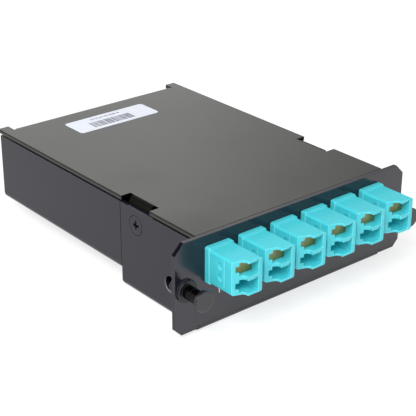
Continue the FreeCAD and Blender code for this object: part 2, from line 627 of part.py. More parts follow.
def adapter():
    """Moulded LC duplex housing about X = 0 and Z = 0, ports one above the other."""
    body = rounded_bar(ADAPTER_W, (-ADAPTER_FRONT, ADAPTER_REAR), ADAPTER_H, ADAPTER_EDGE)
    flange = rounded_bar(ADAPTER_W + 2 * FLANGE_SIDE, (-FLANGE_T, 0), ADAPTER_H + 2 * FLANGE_TOP,
                         ADAPTER_EDGE)
    body = body.fuse(flange)
    cutters = [stepped_front()] + side_marks() + [clip_seat()]
    for z in port_heights():
        cutters.append(port_cutter(z))
    body = body.cut(cutters)
    for z in port_heights():
        body = body.fuse(rod(TUBE_R, (MATE_Y - TUBE_HALF, MATE_Y + TUBE_HALF), FERRULE_X, z))
    holes = []
    for z in port_heights():
        inner = TUBE_HALF - TUBE_END
        holes.append(rod(SLEEVE_R + SLEEVE_FIT, (MATE_Y - inner, MATE_Y + inner), FERRULE_X, z))
        holes.append(rod((SLEEVE_R + FERRULE_R) / 2,
                         (MATE_Y - TUBE_HALF - OVERCUT, MATE_Y + TUBE_HALF + OVERCUT), FERRULE_X, z))
    upper = PORT_PITCH / 2
    reach = PORT_H / 2 + TRUNNION_LENGTH
    pivot = V(PIVOT_X, PIVOT_Y, upper - reach)
    holes.append(Part.makeCylinder(TRUNNION_R + TRUNNION_CLEARANCE, 2 * reach, pivot, Z_AXIS))
    return one_solid(body.cut(holes))


def shutter():
    """Spring leaf that closes the upper port from behind its mouth, on two trunnions."""
    z = PORT_PITCH / 2
    half = PORT_H / 2 - SHUTTER_SIDE_GAP
    front = CAVITY_Y + SHUTTER_LIP_GAP
    tip = ADAPTER_W / 2 - PORT_RIGHT - SHUTTER_SIDE_GAP
    leaf = box((PIVOT_X, tip), (front, front + SHUTTER_T), (z - half, z + half))
    barrel = Part.makeCylinder(SHUTTER_BARREL_R, 2 * half, V(PIVOT_X, PIVOT_Y, z - half), Z_AXIS)
    reach = half + TRUNNION_LENGTH
    trunnions = Part.makeCylinder(TRUNNION_R, 2 * reach, V(PIVOT_X, PIVOT_Y, z - reach), Z_AXIS)
    return one_solid(leaf.fuse([barrel, trunnions]))


def clip_shell(grow):
    """Three sides of a sleeve behind the panel: top and both sides, CLIP_T thick."""
    y = (SHEET + CLIP_GAP - grow, SHEET + CLIP_GAP + CLIP_LENGTH + grow)
    low = ADAPTER_H / 2 - CLIP_DROP - grow
    outer = box((-ADAPTER_W / 2, ADAPTER_W / 2), y, (low, ADAPTER_H / 2))
    inner_half = ADAPTER_W / 2 - CLIP_T
    inner = box((-inner_half, inner_half), (y[0] - OVERCUT, y[1] + OVERCUT),
                (low - OVERCUT, ADAPTER_H / 2 - CLIP_T))
    return outer.cut(inner)


def clip_seat():
    """Shallow groove in the adapter that the clip lies in."""
    return clip_shell(CLIP_GAP)


def adapter_clip():
    """Spring-steel clip over an adapter, with two barbs that press on the panel's rear."""
    clip = clip_shell(0)
    start = SHEET + CLIP_GAP
    face = ADAPTER_W / 2
    root = start + CLIP_BARB_LENGTH
    points = [V(face - CLIP_T, root, -CLIP_BARB_H / 2), V(face, root, -CLIP_BARB_H / 2),
              V(face + CLIP_BARB, start, -CLIP_BARB_H / 2),
              V(face + CLIP_BARB - CLIP_T, start, -CLIP_BARB_H / 2)]
    barb = extrude_profile(points, V(0, 0, CLIP_BARB_H))
    window = centred_box(ADAPTER_W + OVERCUT, (start, root - 2 * CLIP_T), CLIP_BARB_H)
    return one_solid(clip.cut(window).fuse([barb, mirrored(barb)]))


def sleeve(z):
    """Split ceramic alignment sleeve."""
    half = SLEEVE_LENGTH / 2
    y = (MATE_Y - half, MATE_Y + half)
    tube = rod(SLEEVE_R, y, FERRULE_X, z)
    tube = tube.cut(rod(FERRULE_R + FERRULE_FIT, (y[0] - OVERCUT, y[1] + OVERCUT), FERRULE_X, z))
    slit = box((FERRULE_X - SLEEVE_SLIT / 2, FERRULE_X + SLEEVE_SLIT / 2),
               (y[0] - OVERCUT, y[1] + OVERCUT), (z, z + SLEEVE_R + OVERCUT))
    return one_solid(tube.cut(slit))


# ---- LC plugs, boots and fibres ---------------------------------------------------------------
def lc_plug(z):
    """Square plug body with its latch lever and a room for the sleeve holder."""
    body = centred_box(PLUG_SIDE, (PLUG_Y, PLUG_END_Y), PLUG_SIDE, FERRULE_X, z)
    room_end = MATE_Y + TUBE_HALF + FOLD_GAP
    left = FERRULE_X - PLUG_SIDE / 2
    lever_y = (PLUG_Y + PLUG_LEVER_SETBACK, PLUG_END_Y - PLUG_LEVER_T)
    points = [V(left, lever_y[0], z - PLUG_LEVER_W / 2),
              V(left, lever_y[0] + 2 * PLUG_LEVER_T, z - PLUG_LEVER_W / 2),
              V(left - PLUG_LEVER_RISE, lever_y[1], z - PLUG_LEVER_W / 2),
              V(left - PLUG_LEVER_RISE - PLUG_LEVER_LIP, lever_y[1] - PLUG_LEVER_T,
                z - PLUG_LEVER_W / 2)]
    lever = extrude_profile(points, V(0, 0, PLUG_LEVER_W))
    body = body.fuse(lever)
    ferrule_end = FERRULE_Y + FERRULE_LENGTH
    holes = [rod(TUBE_R + SLEEVE_FIT, (PLUG_Y - OVERCUT, room_end), FERRULE_X, z),
             rod(FERRULE_R + FERRULE_FIT, (room_end - OVERCUT, ferrule_end), FERRULE_X, z),
             rod(FIBRE_R + FIBRE_FIT, (ferrule_end - OVERCUT, PLUG_END_Y + OVERCUT), FERRULE_X, z)]
    return one_solid(body.cut(holes))


def ferrule(z):
    """Ceramic ferrule of an inside plug, half way into the sleeve."""
    return rod(FERRULE_R, (FERRULE_Y, FERRULE_Y + FERRULE_LENGTH), FERRULE_X, z)


def lc_boot(z):
    """Short tapered boot behind a plug."""
    end = PLUG_END_Y + BOOT_LENGTH
    boot = cone((BOOT_R, BOOT_TIP_R), (PLUG_END_Y, end), FERRULE_X, z)
    return one_solid(boot.cut(rod(FIBRE_R + FIBRE_FIT, (PLUG_END_Y - OVERCUT, end + OVERCUT),
                                  FERRULE_X, z)))


def fibre_path(x0, x1, z):
    """Straight out of the plug, an arc, a slanting run, an equal arc back, straight into the block.

    With R the bend radius, s the shift from x0 to x1 and L the length from the first arc's start to
    the second one's end, the slant t solves (s - 2 R) cos t - L sin t = -2 R.
    """
    start = V(x0, FERRULE_Y + FERRULE_LENGTH + FIBRE_FIT, z)
    a = V(x0, FANOUT_START_Y, z)
    b = V(x1, BLOCK_Y - FIBRE_R, z)
    end = V(x1, BLOCK_Y + BLOCK_ENTRY - FIBRE_FIT, z)
    length = b.y - a.y
    reach = abs(b.x - a.x) - 2 * FIBRE_BEND_R
    slant = math.acos(-2 * FIBRE_BEND_R / math.hypot(reach, length)) - math.atan2(length, reach)
    side = math.copysign(FIBRE_BEND_R, b.x - a.x)
    whole = V(side * (1 - math.cos(slant)), FIBRE_BEND_R * math.sin(slant), 0)
    half = V(side * (1 - math.cos(slant / 2)), FIBRE_BEND_R * math.sin(slant / 2), 0)
    return Part.Wire([Part.LineSegment(start, a).toShape(),
                      Part.Arc(a, a + half, a + whole).toShape(),
                      Part.LineSegment(a + whole, b - whole).toShape(),
                      Part.Arc(b - whole, b - half, b).toShape(),
                      Part.LineSegment(b, end).toShape()])


def fibre(index, centre, z):
    """Buffered fibre from a plug to its place in the breakout block."""
    x1 = (index - (ADAPTER_COUNT - 1) / 2) * BLOCK_PITCH
    path = fibre_path(centre + FERRULE_X, x1, z)
    start = path.Vertexes[0].Point
    section = Part.Wire([Part.makeCircle(FIBRE_R, start, Y_AXIS)])
    tube = path.makePipeShell([section], True, False)
    expected = math.pi * FIBRE_R ** 2 * path.Length
    if abs(tube.Volume - expected) > VOLUME_ERROR * expected:
        raise ValueError("fibre volume is wrong")
    return tube


# ---- breakout block and MPO -------------------------------------------------------------------
def breakout_block():
    """Moulded block where the trunk cable divides into twelve fibres."""
    block = rounded_bar(BLOCK_W, (BLOCK_Y, BLOCK_END_Y), BLOCK_H, BLOCK_EDGE)
    holes = [rod(TRUNK_R + FIBRE_FIT, (BLOCK_END_Y - BLOCK_ENTRY, BLOCK_END_Y + OVERCUT))]
    for index in range(ADAPTER_COUNT):
        x = (index - (ADAPTER_COUNT - 1) / 2) * BLOCK_PITCH
        for z in port_heights():
            holes.append(rod(FIBRE_R + FIBRE_FIT, (BLOCK_Y - OVERCUT, BLOCK_Y + BLOCK_ENTRY), x, z))
    return one_solid(block.cut(holes))


def breakout_cradle():
    """Bracket on the rear floor: foot, two cheeks with hooks, and a bed for the block."""
    y = (BLOCK_Y + (BLOCK_LENGTH - CRADLE_LENGTH) / 2, BLOCK_Y + (BLOCK_LENGTH + CRADLE_LENGTH) / 2)
    floor = REAR_FLOOR_TOP - ADAPTER_Z
    bed = -BLOCK_H / 2 - CRADLE_GAP
    cheek = BLOCK_W / 2 + CRADLE_GAP
    top = BLOCK_H / 2 + CRADLE_GAP
    pieces = [box((-cheek - CRADLE_T, cheek + CRADLE_T), y, (bed - CRADLE_T, bed))]
    for side in (-1, 1):
        cheek_x = sorted((side * cheek, side * (cheek + CRADLE_T)))
        pieces.append(box(cheek_x, y, (floor, top + CRADLE_T)))
        hook_x = sorted((side * (cheek - CRADLE_HOOK), side * (cheek + CRADLE_T)))
        pieces.append(box(hook_x, y, (top, top + CRADLE_T)))
    foot = centred_box(CRADLE_FOOT_W, y, CRADLE_T, 0, floor + CRADLE_T / 2)
    return one_solid(foot.fuse(pieces))


def trunk_cable():
    """Round trunk between the breakout block and the MPO plug."""
    return rod(TRUNK_R, (BLOCK_END_Y - BLOCK_ENTRY + FIBRE_FIT, MPO_SLEEVE_Y - FIBRE_FIT))


def mpo_room(y, fit=0.0):
    """Keyed room of an MPO adapter, or the plug nose that fits it, between two values of Y."""
    room = centred_box(MPO_PORT_W - 2 * fit, y, MPO_PORT_H - 2 * fit)
    key = centred_box(MPO_KEY_W - 2 * fit, y, MPO_KEY_H, 0, MPO_PORT_H / 2 - fit + MPO_KEY_H / 2)
    return room.fuse(key)


def mpo_adapter():
    """MPO adapter through the rear wall, with a two-hole flange on the outside."""
    inner_end = REAR_WALL_Y - MPO_INSIDE
    flange_y = (REAR_WALL_Y, REAR_WALL_Y + MPO_FLANGE_T)
    body = rounded_bar(MPO_W, (inner_end, REARMOST), MPO_H, MPO_EDGE)
    body = body.fuse(rounded_bar(MPO_FLANGE_W, flange_y, MPO_H, MPO_EDGE))
    wall = (REAR_WALL_Y, REAR_WALL_Y + MPO_BULKHEAD_T)
    cutters = [mpo_room((inner_end - OVERCUT, wall[0])), mpo_room((wall[1], REARMOST + OVERCUT)),
               centred_box(MPO_WINDOW_W, (wall[0] - OVERCUT, wall[1] + OVERCUT), MPO_WINDOW_H)]
    for side in (-1, 1):
        past = (flange_y[0] - OVERCUT, flange_y[1] + OVERCUT)
        cutters.append(rod(MPO_SCREW_R + SCREW_CLEARANCE, past, side * MPO_HOLE_X))
    return one_solid(body.cut(cutters))


def mpo_screw(x):
    """Small pan-head screw through the flange and the rear wall."""
    head_y = REAR_WALL_Y + MPO_FLANGE_T
    end = head_y + MPO_SCREW_HEAD_T
    head = round_rim(rod(MPO_SCREW_HEAD_R, (head_y, end), x), MPO_SCREW_HEAD_R, end, MPO_SCREW_HEAD_EDGE)
    screw = head.fuse(rod(MPO_SCREW_R, (head_y - MPO_SCREW_LENGTH, head_y), x))
    slot_y = (end - MPO_SCREW_SLOT_DEPTH, end + OVERCUT)
    return one_solid(screw.cut(centred_box(2 * MPO_SCREW_HEAD_R, slot_y, MPO_SCREW_SLOT_W, x)))


def mpo_nut(x):
    """Hexagon nut on the inside of the rear wall."""
    y = REAR_WALL_Y - SHEET - MPO_NUT_T
    sector = math.radians(60)
    corner = MPO_NUT_ACROSS / 2 / math.cos(sector / 2)
    points = []
    for i in range(6):
        points.append(V(x + corner * math.cos(i * sector), y, corner * math.sin(i * sector)))
    nut = extrude_profile(points, V(0, MPO_NUT_T, 0))
    hole = rod(MPO_SCREW_R + SCREW_CLEARANCE, (y - OVERCUT, y + MPO_NUT_T + OVERCUT), x)
    return one_solid(nut.cut(hole))


def mpo_plug():
    """Keyed nose inside the adapter and the grip sleeve outside it."""
    grip = rounded_bar(MPO_PLUG_W, (MPO_SLEEVE_Y, MPO_SLEEVE_END_Y), MPO_PLUG_H, MPO_EDGE)
    nose = mpo_room((MPO_SLEEVE_END_Y, REAR_WALL_Y - FOLD_GAP), MPO_FIT)
    grooves = []
    for i in range(MPO_GROOVE_COUNT):
        start = MPO_SLEEVE_Y + MPO_GROOVE_PITCH * (i + 1)
        y = (start, start + MPO_GROOVE_W)
        core_w = MPO_PLUG_W - 2 * MPO_GROOVE_DEPTH
        for side in (-1, 1):
            x = side * (core_w + MPO_PLUG_W) / 2
            grooves.append(centred_box(MPO_PLUG_W, y, MPO_PLUG_H + OVERCUT, x))
    return one_solid(grip.fuse(nose).cut(grooves))


def mpo_boot():
    """Tapered boot between the MPO plug and the trunk cable."""
    boot = cone((MPO_BOOT_TIP_R, MPO_BOOT_R), (MPO_BOOT_Y, MPO_SLEEVE_Y))
    return one_solid(boot.cut(rod(TRUNK_R + FIBRE_FIT, (MPO_BOOT_Y - OVERCUT, MPO_SLEEVE_Y + OVERCUT))))


# ---- label ------------------------------------------------------------------------------------
def label():
    """Blank label with round corners on the rear of the cover."""
    y = BODY_DEPTH - LABEL_FROM_REAR
    sheet = box((LABEL_X - LABEL_L / 2, LABEL_X + LABEL_L / 2), (y - LABEL_W / 2, y + LABEL_W / 2),
                (PANEL_H, PANEL_H + LABEL_T))
    return sheet.makeFillet(LABEL_CORNER, edges_along(sheet, Z_AXIS))


# ---- all nodes --------------------------------------------------------------------------------
def placed(shape, x=0.0, z=0.0):
    """Copy of a piece moved to its place along the panel."""
    copy = shape.copy()
    copy.translate(V(x, 0, z))
    return copy


def all_nodes():
    """Every node's name and the solids it holds."""
    nodes = {"chassis": [chassis()], "cover": [cover()], "label": [label()]}
    screw = cover_screw()
    nodes["cover_screws"] = [screw, mirrored(screw)]
    for name, side in (("left", -1), ("right", 1)):
        nodes["grommet_" + name] = [placed(grommet(), side * PLUNGER_X, PLUNGER_Z)]
        nodes["plunger_" + name] = [placed(plunger(), side * PLUNGER_X, PLUNGER_Z)]
    housing = adapter()
    clip = adapter_clip()
    leaf = shutter()
    nodes["lc_boots"] = []
    nodes["lc_ferrules"] = []
    nodes["fibres"] = []
    for index, x in enumerate(adapter_centres()):
        number = index + 1
        nodes["adapter_%d" % number] = [placed(housing, x, ADAPTER_Z)]
        nodes["adapter_clip_%d" % number] = [placed(clip, x, ADAPTER_Z)]
        nodes["shutter_%d" % number] = [placed(leaf, x, ADAPTER_Z)]
        nodes["sleeves_%d" % number] = [placed(sleeve(z), x, ADAPTER_Z) for z in port_heights()]
        for row, z in enumerate(port_heights()):
            plug_number = 2 * index + row + 1
            nodes["lc_plug_%d" % plug_number] = [placed(lc_plug(z), x, ADAPTER_Z)]
            nodes["lc_boots"].append(placed(lc_boot(z), x, ADAPTER_Z))
            nodes["lc_ferrules"].append(placed(ferrule(z), x, ADAPTER_Z))
            nodes["fibres"].append(fibre(index, x, ADAPTER_Z + z))
    for name, maker in (("breakout_block", breakout_block), ("breakout_cradle", breakout_cradle),
                        ("trunk_cable", trunk_cable), ("mpo_adapter", mpo_adapter),
                        ("mpo_plug", mpo_plug), ("mpo_boot", mpo_boot)):
        nodes[name] = [placed(maker(), 0, ADAPTER_Z)]
    nodes["mpo_screws"] = [placed(mpo_screw(side * MPO_HOLE_X), 0, ADAPTER_Z) for side in (-1, 1)]
    nodes["mpo_nuts"] = [placed(mpo_nut(side * MPO_HOLE_X), 0, ADAPTER_Z) for side in (-1, 1)]
    return nodes


def main():
    """Write one STEP file for each node."""
    os.makedirs("parts", exist_ok=True)
    for name, solids in all_nodes().items():
        shape = solids[0]
        if len(solids) > 1:
            shape = Part.makeCompound(solids)
        shape = shape.copy()
        shape.translate(ORIGIN_SHIFT)
        if not shape.isValid():
            raise ValueError("invalid shape: " + name)
        shape.exportStep(os.path.join("parts", name + ".step"))


main()
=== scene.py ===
"""Fibre cassette: finishes, printed marks and studio, built round the packed model.

The cassette lies on a pale floor at Z = 0, with its front panel facing -Y. Sizes are metres.
"""

import math

import bpy
import numpy as np
from mathutils import Matrix, Vector


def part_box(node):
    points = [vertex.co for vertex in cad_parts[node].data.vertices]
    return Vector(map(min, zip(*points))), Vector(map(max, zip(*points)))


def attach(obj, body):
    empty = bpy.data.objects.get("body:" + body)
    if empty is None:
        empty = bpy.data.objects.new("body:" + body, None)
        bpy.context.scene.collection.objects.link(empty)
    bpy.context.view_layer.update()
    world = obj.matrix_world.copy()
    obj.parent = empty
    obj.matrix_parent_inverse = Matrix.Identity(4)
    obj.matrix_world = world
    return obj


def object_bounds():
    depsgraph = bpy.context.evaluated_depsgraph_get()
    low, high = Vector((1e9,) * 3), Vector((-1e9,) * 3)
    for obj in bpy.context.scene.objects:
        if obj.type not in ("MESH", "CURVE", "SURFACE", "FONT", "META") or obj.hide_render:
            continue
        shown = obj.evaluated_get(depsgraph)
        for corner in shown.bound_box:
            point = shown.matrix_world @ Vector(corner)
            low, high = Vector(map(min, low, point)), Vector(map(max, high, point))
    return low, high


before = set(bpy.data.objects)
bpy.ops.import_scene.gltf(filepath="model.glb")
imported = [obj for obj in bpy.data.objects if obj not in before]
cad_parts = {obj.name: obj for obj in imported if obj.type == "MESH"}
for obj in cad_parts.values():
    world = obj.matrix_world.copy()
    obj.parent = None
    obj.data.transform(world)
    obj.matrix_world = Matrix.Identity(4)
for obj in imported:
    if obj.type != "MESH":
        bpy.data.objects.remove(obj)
CAD_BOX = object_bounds()

bl_info = {
    "name": "Fibre cassette",
    "version": (1, 0, 0),
    "blender": (4, 5, 0),
    "location": "3D View > Sidebar > Fibre cassette",
    "description": "Finishes, printed marks and studio of a fibre cassette",
    "category": "Object",
}

MM = 0.001
ADAPTER_COUNT = 6
PLUG_COUNT = 2 * ADAPTER_COUNT
SCREW_HEAD_RADIUS = 3.5 * MM
HOLE_RADIUS = 3.2 * MM
HOLE_BEHIND_PANEL = 15.4 * MM
HOLE_HEIGHT = 12.1 * MM
PANEL_CHAMFER = 3.7 * MM
KNOB_REACH = 1.7 * MM          # knob's front to just behind its back
PANEL_FACE_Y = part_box("chassis")[0].y
LABEL_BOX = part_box("label")
SCREW_AXIS = (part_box("cover_screws")[0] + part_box("cover_screws")[1]) / 2
HOLE_AXIS = Vector((0.0, PANEL_FACE_Y + HOLE_BEHIND_PANEL, HOLE_HEIGHT))
BODY_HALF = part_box("cover")[1].x
PANEL_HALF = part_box("chassis")[1].x
PANEL_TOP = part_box("chassis")[1].z
KNOB_BACK_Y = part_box("plunger_left")[0].y + KNOB_REACH
ADAPTER_BOXES = [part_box("adapter_%d" % number) for number in range(1, ADAPTER_COUNT + 1)]


# ---- sizes and colours that a user would change -----------------------------------------------
class CoatSettings(bpy.types.PropertyGroup):
    """Powder coat of the folded sheets."""

    wall_colour: bpy.props.FloatVectorProperty(
        name="Wall colour", description="Coat of the panel, floor and side walls", subtype="COLOR",
        size=3, min=0.0, max=1.0, default=(0.009, 0.0075, 0.015))
    cover_colour: bpy.props.FloatVectorProperty(
        name="Cover colour", description="Coat of the cover", subtype="COLOR",
        size=3, min=0.0, max=1.0, default=(0.013, 0.014, 0.010))
    # Lighter coat on the edges: partly rubbed, worn coat and partly a painted highlight.
    worn_and_highlight_colour: bpy.props.FloatVectorProperty(
        name="Worn colour", description="Coat where it is rubbed thin on the edges",
        subtype="COLOR", size=3, min=0.0, max=1.0, default=(0.16, 0.157, 0.15))
    roughness: bpy.props.FloatProperty(
        name="Roughness", description="Roughness of the coat", subtype="FACTOR",
        min=0.0, max=1.0, default=0.16)
    peel_size: bpy.props.FloatProperty(
        name="Peel size", description="Width of one ripple of the coat's orange peel",
        unit="LENGTH", min=0.0001, max=0.01, default=0.0007)
    peel_depth: bpy.props.FloatProperty(
        name="Peel depth", description="Depth of the coat's orange peel", unit="LENGTH",
        min=0.0, max=0.001, default=0.000012, precision=6)
    edge_radius: bpy.props.FloatProperty(
        name="Edge radius", description="How far the coat rounds the cut edges of the sheet",
        unit="LENGTH", min=0.0, max=0.002, default=0.00022, precision=5)


class MouldingSettings(bpy.types.PropertyGroup):
    """Moulded plastic of the adapters and the plungers."""

    aqua: bpy.props.FloatVectorProperty(
        name="Aqua", description="Adapter housings and plugs", subtype="COLOR",
        size=3, min=0.0, max=1.0, default=(0.055, 0.470, 0.535))
    # Painted highlight on the edges of the adapter housings.
    aqua_edge_highlight: bpy.props.FloatVectorProperty(
        name="Aqua edge", description="Thin, lighter edges of the adapter housings",
        subtype="COLOR", size=3, min=0.0, max=1.0, default=(0.35, 0.95, 1.0))
    black: bpy.props.FloatVectorProperty(
        name="Black", description="Plungers, grommets, block and cradle", subtype="COLOR",
        size=3, min=0.0, max=1.0, default=(0.008, 0.008, 0.010))
    # Painted highlight on the rims of the plungers and grommets.
    black_edge_highlight: bpy.props.FloatVectorProperty(
        name="Black edge", description="Thin, lighter rims of the plungers and grommets",
        subtype="COLOR", size=3, min=0.0, max=1.0, default=(0.38, 0.38, 0.42))
    roughness: bpy.props.FloatProperty(
        name="Roughness", description="Roughness of the mouldings", subtype="FACTOR",
        min=0.0, max=1.0, default=0.36)
    grain_size: bpy.props.FloatProperty(
        name="Grain size", description="Width of one grain of the mould's surface",
        unit="LENGTH", min=0.00005, max=0.005, default=0.00025, precision=5)


class MetalSettings(bpy.types.PropertyGroup):
    """Bare and plated metal."""

    bronze: bpy.props.FloatVectorProperty(
        name="Bronze", description="Spring shutters", subtype="COLOR",
        size=3, min=0.0, max=1.0, default=(0.30, 0.27, 0.12))
    steel: bpy.props.FloatVectorProperty(
        name="Steel", description="Clips, screws and nuts of the rear port", subtype="COLOR",
        size=3, min=0.0, max=1.0, default=(0.56, 0.56, 0.55))


class PrintSettings(bpy.types.PropertyGroup):
    """Port numbers on the panel and plain marks on the label."""

    number_height: bpy.props.FloatProperty(
        name="Number height", description="Height of the port numbers", unit="LENGTH",
        min=0.001, max=0.01, default=0.0018, precision=4)
    stroke: bpy.props.FloatProperty(
        name="Stroke", description="Width of a stroke of the port numbers", unit="LENGTH",
        min=0.0001, max=0.002, default=0.0004, precision=5)
    number_drop: bpy.props.FloatProperty(
        name="Number drop", description="Port number's middle below its adapter's middle",
        unit="LENGTH", min=0.005, max=0.02, default=0.0119, precision=4)
    number_shift: bpy.props.FloatProperty(
        name="Number shift", description="Port number's middle right of its adapter's middle",
        unit="LENGTH", min=-0.005, max=0.005, default=0.001, precision=4)
    film: bpy.props.FloatProperty(
        name="Film", description="Thickness of the printed ink", unit="LENGTH",
        min=0.000005, max=0.0002, default=0.00002, precision=6)
    number_colour: bpy.props.FloatVectorProperty(
        name="Number colour", description="Ink of the port numbers", subtype="COLOR",
        size=3, min=0.0, max=1.0, default=(0.80, 0.80, 0.80))
    label_colour: bpy.props.FloatVectorProperty(
        name="Label colour", description="Coated label stock", subtype="COLOR",
        size=3, min=0.0, max=1.0, default=(0.66, 0.69, 0.76))
    mark_colour: bpy.props.FloatVectorProperty(
        name="Mark colour", description="Ink of the label's bars", subtype="COLOR",
        size=3, min=0.0, max=1.0, default=(0.09, 0.09, 0.12))


class StudioSettings(bpy.types.PropertyGroup):
    """Camera and light."""

    camera_place: bpy.props.FloatVectorProperty(
        name="Camera place", description="Where the camera stands", subtype="TRANSLATION",
        unit="LENGTH", size=3, default=(-0.26980, -0.33377, 0.21296))
    camera_turn: bpy.props.FloatProperty(
        name="Camera turn", description="Heading of the view, clockwise from +Y", subtype="ANGLE",
        unit="ROTATION", default=math.radians(39.853))
    camera_roll: bpy.props.FloatProperty(
        name="Camera roll", description="How far the camera is rolled to the left", subtype="ANGLE",
        unit="ROTATION", default=math.radians(0.266))
    camera_tilt: bpy.props.FloatProperty(
        name="Camera tilt", description="How far the view looks down", subtype="ANGLE",
        unit="ROTATION", default=math.radians(25.083))
    lens: bpy.props.FloatProperty(
        name="Lens", description="Focal length on a 36 mm sensor, in millimetres",
        min=20.0, max=300.0, default=103.84)
    sky: bpy.props.FloatProperty(
        name="Sky", description="Strength of the white surroundings",
        min=0.0, max=2.0, default=0.50)
    mirrored: bpy.props.FloatProperty(
        name="Mirrored", description="Strength of the white surroundings in a reflection",
        min=0.0, max=2.0, default=1.17)
    ceiling: bpy.props.FloatProperty(
        name="Ceiling", description="How light the studio's ceiling is in a reflection",
        min=0.0, max=1.0, default=0.03)
    flag: bpy.props.FloatProperty(
        name="Flag", description="How light the dark flag behind on the right is in a reflection",
        min=0.0, max=1.0, default=0.30)
    key: bpy.props.FloatProperty(
        name="Key light", description="Power of the large light at the front left, in watts",
        min=0.0, max=50.0, default=11.0)
    fill: bpy.props.FloatProperty(
        name="Fill light", description="Power of the light overhead, in watts",
        min=0.0, max=50.0, default=1.5)


# ---- shared shader groups ---------------------------------------------------------------------
def set_inputs(node, **values):
    """Set a node's inputs by name, with spaces written as underscores."""
    for name, value in values.items():
        node.inputs[name.replace("_", " ")].default_value = value


def add_node(tree, kind, **values):
    """New node with these values on its inputs."""
    node = tree.nodes.new(kind)
    set_inputs(node, **values)
    return node


def calculate(tree, operation, *values):
    """Output of a Math node on one or two inputs, each a number or another node's output."""
    node = tree.nodes.new("ShaderNodeMath")
    node.operation = operation
    for socket, value in zip(node.inputs, values):
        if isinstance(value, bpy.types.NodeSocket):
            tree.links.new(value, socket)
        else:
            socket.default_value = value
    return node.outputs[0]


def product(tree, first, *others):
    """Several values multiplied together."""
    for other in others:
        first = calculate(tree, "MULTIPLY", first, other)
    return first


def total(tree, first, *others):
    """Several values added together."""
    for other in others:
        first = calculate(tree, "ADD", first, other)
    return first


def object_place(tree):
    """The place of a point on the object."""
    return tree.nodes.new("ShaderNodeTexCoord").outputs["Object"]


def separated(tree, vector):
    """The X, Y and Z of a vector."""
    node = tree.nodes.new("ShaderNodeSeparateXYZ")
    tree.links.new(vector, node.inputs["Vector"])
    return node.outputs


def connect(tree, node, **values):
    """Link outputs to a node's inputs by name, with spaces written as underscores."""
    for name, value in values.items():
        tree.links.new(value, node.inputs[name.replace("_", " ")])


def noise(tree, vector, size, detail):
    """Noise between 0 and 1; another node's output gives the size of its largest grains."""
    node = add_node(tree, "ShaderNodeTexNoise", Detail=detail, Roughness=0.55)
    connect(tree, node, Vector=vector, Scale=calculate(tree, "DIVIDE", 1.0, size))
    return node.outputs["Fac"]


def stretch(tree, value, low, high, start, end):
    """Value between low and high, moved to between start and end, and kept there."""
    node = add_node(tree, "ShaderNodeMapRange", From_Min=low, From_Max=high,
                    To_Min=start, To_Max=end)
    connect(tree, node, Value=value)
    return node.outputs["Result"]


def blend_colours(tree, mask, first, second):
    """Mix of two colours, each a value or another node's output, by a mask. Returns its output."""
    node = tree.nodes.new("ShaderNodeMix")
    node.data_type = "RGBA"
    tree.links.new(mask, node.inputs["Factor"])
    for socket, value in ((node.inputs[6], first), (node.inputs[7], second)):
        if isinstance(value, bpy.types.NodeSocket):
            tree.links.new(value, socket)
        else:
            socket.default_value = (*value, 1.0)
    return node.outputs[2]


def new_group(name, inputs, outputs):
    """Empty shader group with named number sockets. Returns the tree, its input and its output."""
    tree = bpy.data.node_groups.new(name, "ShaderNodeTree")
    for socket, default in inputs:
        made = tree.interface.new_socket(socket, in_out="INPUT", socket_type="NodeSocketFloat")
        made.default_value = default
    for socket in outputs:
        tree.interface.new_socket(socket, in_out="OUTPUT", socket_type="NodeSocketFloat")
    return tree, tree.nodes.new("NodeGroupInput"), tree.nodes.new("NodeGroupOutput")


def surface_grain():
    """Group: fine ripple height, slow mottle and a roughness that follows both.

    Roughness is the base, plus the spread times the mottle's distance from its middle, plus a
    fifth of the spread times the ripple's.
    """
    tree, given, out = new_group(
        "surface_grain",
        (("Grain size", 0.0005), ("Mottle size", 0.02), ("Roughness", 0.4), ("Spread", 0.1)),
        ("Height", "Mottle", "Roughness"))
    place = object_place(tree)
    spread = given.outputs["Spread"]
    fine = noise(tree, place, given.outputs["Grain size"], 2.0)
    slow = noise(tree, place, given.outputs["Mottle size"], 4.0)
    rough = total(tree, given.outputs["Roughness"],
                  product(tree, calculate(tree, "SUBTRACT", slow, 0.5), spread),
                  product(tree, calculate(tree, "SUBTRACT", fine, 0.5), spread, 0.2))
    connect(tree, out, Height=fine, Mottle=slow, Roughness=rough)


def handling_marks():
    """Group: fine hairline scratches and faint smudges from hands, as two masks from 0 to 1.

    A scratch is the thin middle of a band of noise stretched far along one direction. Two sets
    cross at a slant.
    """
    tree, given, out = new_group(
        "handling_marks", (("Scratch spacing", 0.006), ("Smudge size", 0.03)),
        ("Scratches", "Smudges"))
    place = object_place(tree)
    sets = []
    for turn in (0.5, -0.9):
        mapping = add_node(tree, "ShaderNodeMapping", Rotation=(turn, 0.4, turn),
                           Scale=(1.0, 0.04, 1.0))
        connect(tree, mapping, Vector=place)
        band = noise(tree, mapping.outputs["Vector"], given.outputs["Scratch spacing"], 3.0)
        near = calculate(tree, "ABSOLUTE", calculate(tree, "SUBTRACT", band, 0.5))
        sets.append(stretch(tree, near, 0.0, 0.006, 1.0, 0.0))
    smudge = noise(tree, place, given.outputs["Smudge size"], 3.0)
    connect(tree, out, Scratches=calculate(tree, "MAXIMUM", *sets),
            Smudges=stretch(tree, smudge, 0.48, 0.68, 0.0, 1.0))


